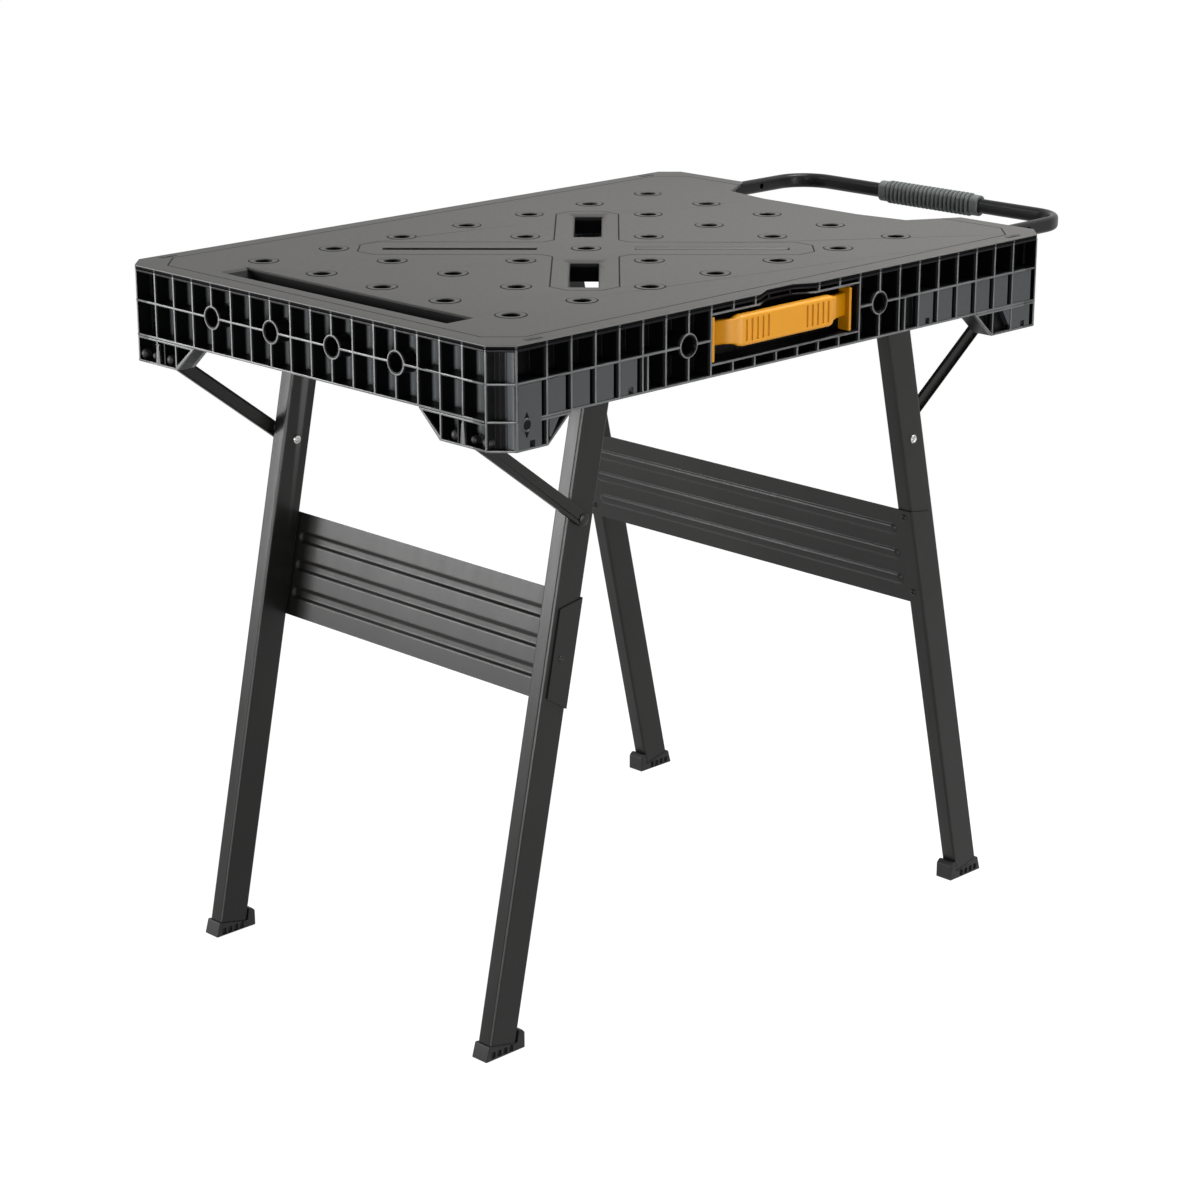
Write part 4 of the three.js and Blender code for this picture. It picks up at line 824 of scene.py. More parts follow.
    @classmethod
    def joined(cls, name: str, pieces: Sequence[bpy.types.Object]) -> bpy.types.Object:
        """Joins pieces into one mesh at the origin."""
        for piece in pieces:
            cls.settle(piece)
        cls.alone(pieces[0])
        for piece in pieces:
            piece.select_set(True)
        if len(pieces) > 1:
            bpy.ops.object.join()
        pieces[0].name = name
        return pieces[0]

    @classmethod
    def carve(cls, obj: bpy.types.Object, tool: bpy.types.Object) -> None:
        """Cuts one object out of another and throws the cutter away."""
        cut = obj.modifiers.new("carve", "BOOLEAN")
        cut.object = tool
        cut.operation = "DIFFERENCE"
        cut.solver = "EXACT"
        cls.alone(obj)
        bpy.ops.object.modifier_apply(modifier=cut.name)
        bpy.data.objects.remove(tool, do_unlink=True)

    @staticmethod
    def mark_edges(obj: bpy.types.Object) -> None:
        """Stores how far each point of a leg lies on a rounded lengthwise edge, for the painted highlight there."""
        marks = obj.data.attributes.new("edge_highlight", "FLOAT", "POINT")
        for vertex, mark in zip(obj.data.vertices, marks.data):
            normal = vertex.normal
            mark.value = 2 * abs(normal.y) * math.hypot(normal.x, normal.z)

    @classmethod
    def hand_over(
        cls, obj: bpy.types.Object, slot: Slot, body: str, nodes: Sequence[str] = ()
    ) -> bpy.types.Object:
        """Gives a finished piece its material and its place in the moving tree.

        Args:
            obj: The piece.
            slot: Its material slot.
            body: The body that it rides on.
            nodes: CAD nodes that it stands for.

        Returns:
            The piece.
        """
        if slot not in cls.materials:
            cls.materials[slot] = FINISHES[slot].material()
        obj.data.materials.clear()
        obj.data.materials.append(cls.materials[slot])
        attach(obj, body)
        if nodes:
            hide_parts(*nodes)
        LOG.info("%s: %d faces on %s", obj.name, len(obj.data.polygons), body)
        return obj

    @classmethod
    def shell(cls, node: str, slot: Slot, body: str, width: float, segments: int = 2) -> bpy.types.Object:
        """Replaces a CAD node by a copy with softened edges."""
        obj = cls.copy_of(node, f"{node}_shell")
        cls.soften(obj, width, segments)
        return cls.hand_over(obj, slot, body, [node])


@dataclass
class DeckTop:
    """The deck with its hole pads and corner marks."""

    plate: float = 0.0045
    grid_x: float = -0.0175
    pitch_x: float = 0.0996
    pitch_y: float = 0.098
    hole_r: float = 0.00965
    pad_r: float = 0.0162
    pad_rise: float = 0.00028
    well_depth: float = 0.014
    mark: tuple[float, float] = (0.02, 0.007)
    mark_at: tuple[float, float] = (0.375, 0.2895)

    def cells(self) -> list[tuple[int, int]]:
        """Grid cells that hold a dog hole."""
        return [
            (i, j) for i in range(-3, 4) for j in range(-2, 3) if not (abs(i) == 1 and abs(j) == 1)
        ]

    def build(self) -> None:
        """Builds the deck's shell, the ringed pads round its holes and its corner marks."""
        Shop.shell("deck", Slot.DECK, Body.TABLE.value, 0.0008)
        Shop.shell("deck_ribs", Slot.BLACK, Body.TABLE.value, 0.0004)
        self.build_pads()
        self.build_wells()
        self.build_marks()

    def places(self) -> list[Vector]:
        """Where the dog holes are."""
        return [
            Vector(at(self.grid_x + i * self.pitch_x, j * self.pitch_y, DECK_TOP)) for i, j in self.cells()
        ]

    def build_wells(self) -> None:
        """The dark tubes that the dog holes run down through."""
        r, wall, deep = self.hole_r, 0.0005, -self.well_depth
        profile = [(r, -0.0009), (r, deep), (r + wall, deep), (r + wall, -0.0012), (r, -0.0009)]
        places = self.places()
        first = Shop.spun("hole_wells", profile, tuple(places[0]), Axis.Z, 40)
        wells = Shop.repeated("hole_wells", first, [p - places[0] for p in places[1:]])
        Shop.hand_over(wells, Slot.BLACK, Body.TABLE.value)

    def build_pads(self) -> None:
        """Spins one pad with its bore and repeats it over the grid."""
        rise, wall = self.pad_rise, 0.0011
        profile = [
            (self.hole_r, -0.0012),
            (self.hole_r, -0.0007),
            (self.hole_r + 0.0003, -0.0001),
            (self.hole_r + 0.0009, rise),
            (self.pad_r - 0.0006, rise),
            (self.pad_r - 0.0002, rise * 0.7),
            (self.pad_r, -0.0002),
            (self.hole_r + wall, -0.0003),
            (self.hole_r + wall, -0.0012),
            (self.hole_r, -0.0012),
        ]
        places = self.places()
        first = Shop.spun("hole_pads", profile, tuple(places[0]), Axis.Z, 48)
        pads = Shop.repeated("hole_pads", first, [p - places[0] for p in places[1:]])
        Shop.hand_over(pads, Slot.DECK, Body.TABLE.value)

    def build_marks(self) -> None:
        """Low rectangular marks close to the four corners."""
        half_x, half_y = self.mark[0] / 2, self.mark[1] / 2
        marks = []
        for sx in (-1, 1):
            for sy in (-1, 1):
                x, y = sx * self.mark_at[0], sy * self.mark_at[1]
                mark = Shop.block(
                    "corner_mark", at(x - half_x, y - half_y, DECK_TOP - 0.0004),
                    at(x + half_x, y + half_y, DECK_TOP + 0.0004),
                )
                Shop.soften(mark, 0.0003)
                marks.append(mark)
        Shop.hand_over(Shop.joined("corner_marks", marks), Slot.BLACK, Body.TABLE.value)


@dataclass
class Skirts:
    """The ribbed skirts, the corner posts and the round sockets in them."""

    mid_z: float = 0.74125
    socket_r: float = 0.0098
    socket_out: float = 0.0131
    socket_depth: float = 0.021
    end_pitch: float = 0.098
    side_sockets: tuple[float, float] = (-0.1669, 0.1319)
    rib: float = 0.0024
    side_pitch: float = 0.0332
    side_lines: tuple[float, float] = (-0.2333, 0.1983)
    post_x: float = 0.4065
    lower_row: tuple[float, float] = (0.7049, 0.74005)
    lug_row: tuple[float, float] = (0.6759, 0.7001)
    ramp: tuple[float, float, float] = (0.3628, 0.349, 0.3605)
    ramp_z: tuple[float, float] = (0.6815, 0.7)
    plate_gap: float = 0.0066
    plate_sink: float = 0.0006
    plate_back: float = 0.0079
    drain: float = 0.007
    drains: tuple[tuple[float, float], ...] = (
        (-0.2499, 0.7049), (0.2149, 0.7049), (-0.3863, 0.6759), (0.3863, 0.6759),
    )
    eye: tuple[float, float] = (-0.3938, 0.6992)
    nodes: tuple[str, ...] = (
        "front_skirt", "rear_skirt", "left_end_skirt", "right_end_skirt",
        "corner_front_left", "corner_rear_left", "corner_front_right", "corner_rear_right",
    )

    def build(self) -> None:
        """Builds every moulded wall below the deck."""
        for node in self.nodes:
            Shop.shell(node, Slot.BLACK, Body.TABLE.value, 0.0005)
        self.build_sockets()
        for rank, side in (("front", -1), ("rear", 1)):
            self.build_plates(rank, side)
            self.build_rings(rank, side)
            self.build_lug_fittings(rank, side)

    def plate_spans(self) -> list[tuple[float, float, float, float]]:
        """Left, right, low and high edge of every smooth panel, across the bench's length."""
        half = self.rib / 2
        lines = [-self.post_x] + [self.side_lines[0] - k * self.side_pitch for k in range(4, -1, -1)]
        right = [self.side_lines[1] + k * self.side_pitch for k in range(6)] + [self.post_x]
        spans = [(a + half, b - half) for a, b in (*zip(lines, lines[1:]), *zip(right, right[1:]))]
        low, high = self.lower_row
        plates = [(a + 0.0002, b - self.plate_gap, low + 0.0002, high - 0.0002) for a, b in spans[1:]]
        a, b = spans[-1]
        plates.append((a + 0.0002, b - self.plate_gap, self.lug_row[0] + 0.0002, self.lug_row[1]))
        return plates

    def fin_tool(self, side: int) -> bpy.types.Object:
        """A tall diamond to be cut into the panel beside a left post.

        Args:
            side: -1 for the front and 1 for the rear.

        Returns:
            The cutting piece.
        """
        x, z = self.eye
        face = side * HALF_WIDTH
        fin = Shop.block("fin", at(x - 0.0042, face - 0.009, z - 0.0042), at(x + 0.0042, face + 0.009, z + 0.0042))
        Shop.edit(fin)
        bpy.ops.transform.rotate(value=math.radians(45), orient_axis="Y", center_override=at(x, face, z))
        bpy.ops.transform.resize(value=(1.0, 1.0, 2.3), center_override=at(x, face, z))
        Shop.leave()
        return fin

    def build_plates(self, rank: str, side: int) -> None:
        """Smooth panels that fill the shallow cells of a long skirt, each with a dark gap at its right.

        Args:
            rank: Which skirt.
            side: -1 for the front and 1 for the rear.
        """
        front, back = side * (HALF_WIDTH - self.plate_sink), side * (HALF_WIDTH - self.plate_back)
        blocks = [
            Shop.block("panel", at(a, min(front, back), low), at(b, max(front, back), high))
            for a, b, low, high in self.plate_spans()
        ]
        proud = side * (HALF_WIDTH + 0.00015)
        a = -self.post_x + self.rib / 2 + 0.0002
        b = self.side_lines[0] - 4 * self.side_pitch - self.rib / 2 - self.plate_gap
        tall = (at(a, min(proud, back), self.lug_row[0]), at(b, max(proud, back), self.lower_row[1] - 0.0002))
        blocks.append(Shop.block("tall_panel", *tall))
        blocks += [self.ramp_panel(out, front, back) for out in (-1, 1)]
        plates = Shop.joined(f"{rank}_skirt_panels", blocks)
        drains = [
            Shop.block(
                "drain",
                at(x - self.drain / 2, side * (HALF_WIDTH - 0.012), z - 0.001),
                at(x + self.drain / 2, side * (HALF_WIDTH + 0.002), z + self.drain),
            )
            for x, z in self.drains
        ]
        for tool in (*drains, self.fin_tool(side)):
            Shop.carve(plates, tool)
        Shop.soften(plates, 0.0003)
        Shop.hand_over(plates, Slot.SHOE, Body.TABLE.value)

    def ramp_panel(self, out: int, front: float, back: float) -> bpy.types.Object:
        """A wedge of smooth panel in the sloping cell of a lug.

        Args:
            out: -1 for the left lug and 1 for the right one.
            front: Place of the panel's front face across the bench.
            back: Place of its back.

        Returns:
            The wedge.
        """
        near, far, tip = self.ramp
        low, high = self.ramp_z
        ends = sorted((out * near, out * far))
        wedge = Shop.block("wedge", at(ends[0], min(front, back), low), at(ends[1], max(front, back), high))
        Shop.pick(wedge, lambda co: co.z < (low + high) / 2 and out * (co.x - DATUM.x) < (near + far) / 2)
        bpy.ops.transform.translate(value=(out * (tip - far), 0.0, 0.0))
        Shop.leave()
        return wedge

    def build_rings(self, rank: str, side: int) -> None:
        """The rim of the eye beside a left corner post.

        Args:
            rank: Which skirt.
            side: -1 for the front and 1 for the rear.
        """
        x, z = self.eye
        face = side * (HALF_WIDTH + 0.00015)
        profile = [
            (0.005, -0.003), (0.005, 0.0003), (0.0054, 0.0008), (0.0066, 0.0008), (0.0071, 0.0002), (0.0071, -0.003),
        ]
        ring = Shop.spun(f"{rank}_eye", [*profile, profile[0]], at(x, face, z), Axis.Y, 32, side < 0)
        Shop.hand_over(ring, Slot.SHOE, Body.TABLE.value)
        cup = [(0.0, 0.0), (0.0047, 0.0), (0.0051, 0.0002), (0.0051, -0.002), (0.0, -0.002)]
        floor = Shop.spun(f"{rank}_eye_floor", cup, at(x, face, z), Axis.Y, 32, side < 0)
        Shop.hand_over(floor, Slot.BLACK, Body.TABLE.value)

    def build_lug_fittings(self, rank: str, side: int) -> None:
        """Domes and the widened rib end in the open cells of a left lug.

        Args:
            rank: Which end of the skirt.
            side: -1 for the front and 1 for the rear.
        """
        domes = []
        for y, radius in ((0.2285, 0.0055), (0.2555, 0.0042), (0.2745, 0.006)):
            profile = [(0.0, radius * 0.75)]
            profile += [(radius * math.sin(a), radius * 0.75 * math.cos(a)) for a in (0.35, 0.7, 1.05, 1.4)]
            profile += [(radius, -0.004), (0.0, -0.004)]
            domes.append(Shop.spun("dome", profile, at(-0.4215, side * y, 0.6815), Axis.X, 24, True))
        tab = Shop.block(f"{rank}_lug_tab", at(-0.4274, side * 0.2405, 0.6742), at(-0.4244, side * 0.2485, 0.6945))
        Shop.pick(tab, lambda co: co.z > 0.69)
        bpy.ops.transform.resize(value=(1.0, 0.55, 1.0), center_override=at(-0.4274, side * 0.2445, 0.69))
        bpy.ops.mesh.extrude_region_move(TRANSFORM_OT_translate={"value": (0.0008, 0.0, 0.003)})
        Shop.leave()
        Shop.soften(tab, 0.0006)
        Shop.hand_over(tab, Slot.SHOE, Body.TABLE.value)
        fittings = Shop.joined(f"{rank}_lug_domes", domes)
        Shop.smooth(fittings)
        Shop.hand_over(fittings, Slot.FOOT, Body.TABLE.value)

    def socket_profile(self) -> list[tuple[float, float]]:
        """Radius and height of a socket's liner, with its mouth at height 0."""
        r, out, deep = self.socket_r, self.socket_out, -self.socket_depth
        return [
            (0.0, deep),
            (r - 0.0004, deep),
            (r, deep + 0.0006),
            (r, -0.0014),
            (r + 0.0012, 0.00012),
            (out - 0.0006, 0.00012),
            (out, -0.0004),
            (out, -0.004),
            (r + 0.0006, -0.0042),
            (r + 0.0006, deep - 0.0006),
            (0.0, deep - 0.0006),
        ]

    def build_sockets(self) -> None:
        """Round liners in the end and side sockets."""
        profile = self.socket_profile()
        ends = [j * self.end_pitch for j in (-1.5, -0.5, 0.5, 1.5)]
        first = Shop.spun("end_socket", profile, at(-HALF_LENGTH, ends[0], self.mid_z), Axis.X, 40, True)
        row = Shop.repeated("end_sockets", first, [(0, y - ends[0], 0) for y in ends[1:]])
        Shop.hand_over(row, Slot.BLACK, Body.TABLE.value)
        for rank, side in (("front", -1), ("rear", 1)):
            x0, x1 = self.side_sockets
            first = Shop.spun(
                f"{rank}_socket", profile, at(x0, side * HALF_WIDTH, self.mid_z), Axis.Y, 40, side < 0
            )
            pair = Shop.repeated(f"{rank}_sockets", first, [(x1 - x0, 0, 0)])
            Shop.hand_over(pair, Slot.BLACK, Body.TABLE.value)


@dataclass
class CarryHandle:
    """The yellow handle in the front skirt and the dark pocket behind it."""

    stations: tuple[tuple[float, float, float, float], ...] = (
        (-0.1295, 0.294, 0.0080, 0.0130),
        (-0.1120, 0.2975, 0.0085, 0.0130),
        (-0.1020, 0.3040, 0.0105, 0.0132),
        (-0.0975, 0.3068, 0.0115, 0.0158),
        (-0.0930, 0.3080, 0.0120, 0.0165),
        (0.0420, 0.3080, 0.0120, 0.0165),
        (0.0465, 0.3068, 0.0115, 0.0158),
        (0.0510, 0.3040, 0.0105, 0.0132),
        (0.0640, 0.2975, 0.0085, 0.0130),
        (0.0820, 0.2940, 0.0080, 0.0130),
    )
    level: float = 0.7465
    corner_r: float = 0.0024
    plates: tuple[tuple[float, float], ...] = ((-0.1322, -0.1286), (0.0814, 0.085))
    plate_y: tuple[float, float] = (-0.3, -0.284)
    plate_z: tuple[float, float] = (0.718, 0.765)
    tab_x: tuple[float, float] = (0.084, 0.0972)
    groove_count: int = 5
    groove_pitch: float = 0.0084
    groove: tuple[float, float, float] = (0.0032, 0.0022, 0.0235)
    window_x: tuple[float, float] = (-0.1345, 0.0995)
    window_z: tuple[float, float] = (0.7145, 0.769)
    pocket_y: tuple[float, float] = (-0.27345, -0.27225)
    rib_pitch: float = 0.0332

    def build(self) -> None:
        """Builds the handle and the pocket."""
        plates = [self.plate(x, self.plate_y, self.plate_z) for x in self.plates]
        grip_z = (self.level - 0.0165, self.level + 0.0165)
        plates.append(self.plate(self.tab_x, (-0.2876, -0.284), grip_z))
        handle = Shop.joined("carry_handle_bow", [self.bow(), *plates])
        Shop.hand_over(handle, Slot.YELLOW, Body.TABLE.value, ["carry_handle"])
        self.build_pocket()

    @staticmethod
    def plate(x: tuple[float, float], y: tuple[float, float], z: tuple[float, float]) -> bpy.types.Object:
        """A moulded plate with rounded edges between two corners."""
        plate = Shop.block("plate", at(x[0], y[0], z[0]), at(x[1], y[1], z[1]))
        Shop.soften(plate, 0.0009, 3)
        return plate

    def bow(self) -> bpy.types.Object:
        """Draws a rounded section through the stations and cuts the finger grooves.

        Returns:
            The bowed bar of the handle.
        """
        x, front, thick, half = self.stations[0]
        bpy.ops.object.select_all(action="DESELECT")
        bpy.ops.mesh.primitive_plane_add(size=1.0, location=(0, 0, 0), rotation=(0, math.pi / 2, 0))
        bow = bpy.context.object
        bow.name = "bow"
        bow.scale = (2 * half, thick, 1.0)
        Shop.settle(bow)
        bow.location = at(x, -front + thick / 2, self.level)
        Shop.settle(bow)
        Shop.edit(bow)
        bpy.ops.mesh.bevel(offset=self.corner_r, segments=5, affect="VERTICES")
        bpy.ops.mesh.select_all(action="SELECT")
        for last, now in zip(self.stations, self.stations[1:]):
            middle = [-station[1] + station[2] / 2 for station in (last, now)]
            bpy.ops.mesh.extrude_region_move(
                TRANSFORM_OT_translate={"value": (now[0] - last[0], middle[1] - middle[0], 0)}
            )
            bpy.ops.transform.resize(
                value=(1.0, now[2] / last[2], now[3] / last[3]), center_override=at(now[0], middle[1], self.level)
            )
        bpy.ops.mesh.select_all(action="SELECT")
        bpy.ops.mesh.normals_make_consistent(inside=False)
        Shop.leave()
        Shop.carve(bow, self.groove_tools())
        Shop.soften(bow, 0.0003, 2, 50.0)
        return bow

    def groove_tools(self) -> bpy.types.Object:
        """One round ended cutter for each groove, joined."""
        width, depth, height = self.groove
        tools = []
        for start, step in ((self.stations[4][0], 1), (self.stations[5][0], -1)):
            for index in range(self.groove_count):
                x = start + step * (index + 0.45) * self.groove_pitch
                tool = Shop.block(
                    "groove", at(x - width / 2, -0.312, self.level - height / 2),
                    at(x + width / 2, -0.308 + depth, self.level + height / 2),
                )
                Shop.soften(tool, 0.0005, 2)
                tools.append(tool)
        return Shop.joined("grooves", tools)

    def build_pocket(self) -> None:
        """The thin ribbed wall that closes the pocket behind the handle."""
        low, high = self.window_z
        pieces = [self.plate(self.window_x, self.pocket_y, self.window_z)]
        count = int((self.window_x[1] - self.window_x[0]) / self.rib_pitch)
        for index in range(1, count):
            x = self.window_x[0] + 0.0009 + index * self.rib_pitch
            pieces.append(
                self.plate((x - 0.001, x + 0.001), (self.pocket_y[0] - 0.0016, self.pocket_y[0] + 0.0004), (low + 0.003, high - 0.003))
            )
        pocket = Shop.joined("handle_pocket_wall", pieces)
        Shop.hand_over(pocket, Slot.BLACK, Body.TABLE.value)


@dataclass
class PullBar:
    """The sliding bar with its ribbed grip and guides."""

    half_width: float = 0.212
    cross_x: float = 0.5845
    tail_x: float = 0.262
    level: float = 0.7615
    tall: float = 0.018
    thick: float = 0.011
    wall: float = 0.0015
    bend_r: float = 0.0445
    bend_steps: int = 18
    lock_x: float = 0.5
    lock_r: float = 0.0035
    grip_half: float = 0.078
    grip_skin: float = 0.0023
    grip_collar: float = 0.009
    collar_rise: float = 0.0015
    grip_rings: int = 20
    ring_rise: float = 0.003

    def build(self) -> None:
        """Builds the bar, the grip and the guides."""
        self.build_bar()
        self.build_grip()
        for rank in ("front", "rear"):
            Shop.shell(f"bar_guide_{rank}", Slot.SHOE, Body.TABLE.value, 0.0005)

    def oval(self, name: str, place: Point, turn: Point, grow: float) -> bpy.types.Object:
        """A flat oval outline with its long side upright.

        Args:
            name: Name of the piece.
            place: Its centre.
            turn: How the circle is turned before it is stretched.
            grow: How much larger it is than the bar's section on every side.

        Returns:
            The outline, ready to be drawn out.
        """
        bpy.ops.object.select_all(action="DESELECT")
        bpy.ops.mesh.primitive_circle_add(
            vertices=40, radius=self.thick / 2 + grow, location=place, rotation=turn
        )
        outline = bpy.context.object
        outline.name = name
        Shop.settle(outline)
        stretch = (self.tall - self.thick) / 2
        for vertex in outline.data.vertices:
            rise = vertex.co.z - place[2]
            vertex.co.z += stretch if rise > 1e-6 else -stretch if rise < -1e-6 else 0.0
        return outline

    def build_bar(self) -> None:
        """Draws the flat oval section out along the arms and spins it round both bends."""
        bar = self.oval("pull_bar_tube", at(self.tail_x, self.half_width, self.level), (0, math.pi / 2, 0), 0.0)
        Shop.edit(bar)
        run = self.cross_x - self.bend_r - self.tail_x
        span = 2 * (self.half_width - self.bend_r)
        self.draw_out((run, 0, 0))
        self.turn(at(self.cross_x - self.bend_r, self.half_width - self.bend_r, self.level))
        self.draw_out((0, -span, 0))
        self.turn(at(self.cross_x - self.bend_r, self.bend_r - self.half_width, self.level))
        self.draw_out((-run, 0, 0))
        bpy.ops.mesh.select_all(action="SELECT")
        bpy.ops.mesh.remove_doubles(threshold=1e-5)
        bpy.ops.mesh.normals_make_consistent(inside=False)
        Shop.leave()
        shell = bar.modifiers.new("wall", "SOLIDIFY")
        shell.thickness = self.wall
        shell.offset = -1.0
        bpy.ops.object.modifier_apply(modifier=shell.name)
        bpy.ops.mesh.primitive_cylinder_add(
            vertices=32, radius=self.lock_r, depth=2.4 * self.half_width,
            location=at(self.lock_x, 0.0, self.level), rotation=(math.pi / 2, 0, 0),
        )
        Shop.carve(bar, bpy.context.object)
        Shop.smooth(bar, 40.0)
        Shop.hand_over(bar, Slot.BAR, Body.BAR.value, ["pull_bar"])

    @staticmethod
    def draw_out(step: Point) -> None:
        """Extrudes the open end of the tube."""
        bpy.ops.mesh.extrude_region_move(TRANSFORM_OT_translate={"value": step})

    def turn(self, centre: Point) -> None:
        """Spins the open end of the tube a quarter turn towards the front."""
        bpy.ops.mesh.spin(steps=self.bend_steps, angle=math.pi / 2, center=centre, axis=(0, 0, 1))

    def grip_steps(self) -> list[tuple[float, float]]:
        """Place along the grip and growth over the bar of each outline, from one end to the other."""
        core, collar = self.grip_skin, self.grip_skin + self.collar_rise
        ring = self.grip_skin + self.ring_rise
        half, inner = self.grip_half, self.grip_half - self.grip_collar
        pitch = 2 * inner / (self.grip_rings + 1)
        steps = [(-half, 0.0003), (-half, collar - 0.0008), (-half + 0.0008, collar), (-inner, collar)]
        for index in range(self.grip_rings):
            y = -inner + (index + 1) * pitch
            steps += [(y - 0.0019, core), (y - 0.0013, ring - 0.0005), (y - 0.0006, ring)]
            steps += [(y + 0.0006, ring), (y + 0.0013, ring - 0.0005), (y + 0.0019, core)]
        steps += [(inner, collar), (half - 0.0008, collar), (half, collar - 0.0008), (half, 0.0003)]
        return steps

    def build_grip(self) -> None:
        """Draws the sleeve out ring by ring."""
        steps = self.grip_steps()
        start = at(self.cross_x, steps[0][0], self.level)
        grip = self.oval("bar_grip_sleeve", start, (math.pi / 2, 0, 0), steps[0][1])
        Shop.edit(grip)
        centre = Vector(start)
        for (y0, grow0), (y1, grow1) in zip(steps, steps[1:]):
            self.draw_out((0, y1 - y0, 0))
            centre.y += y1 - y0
            factors = [(size + 2 * grow1) / (size + 2 * grow0) for size in (self.thick, self.tall)]
            bpy.ops.transform.resize(value=(factors[0], 1.0, factors[1]), center_override=centre)
        bpy.ops.mesh.select_all(action="SELECT")
        bpy.ops.mesh.normals_make_consistent(inside=False)
        Shop.leave()
        Shop.smooth(grip, 40.0)
        Shop.hand_over(grip, Slot.GRIP, Body.BAR.value, ["bar_grip"])


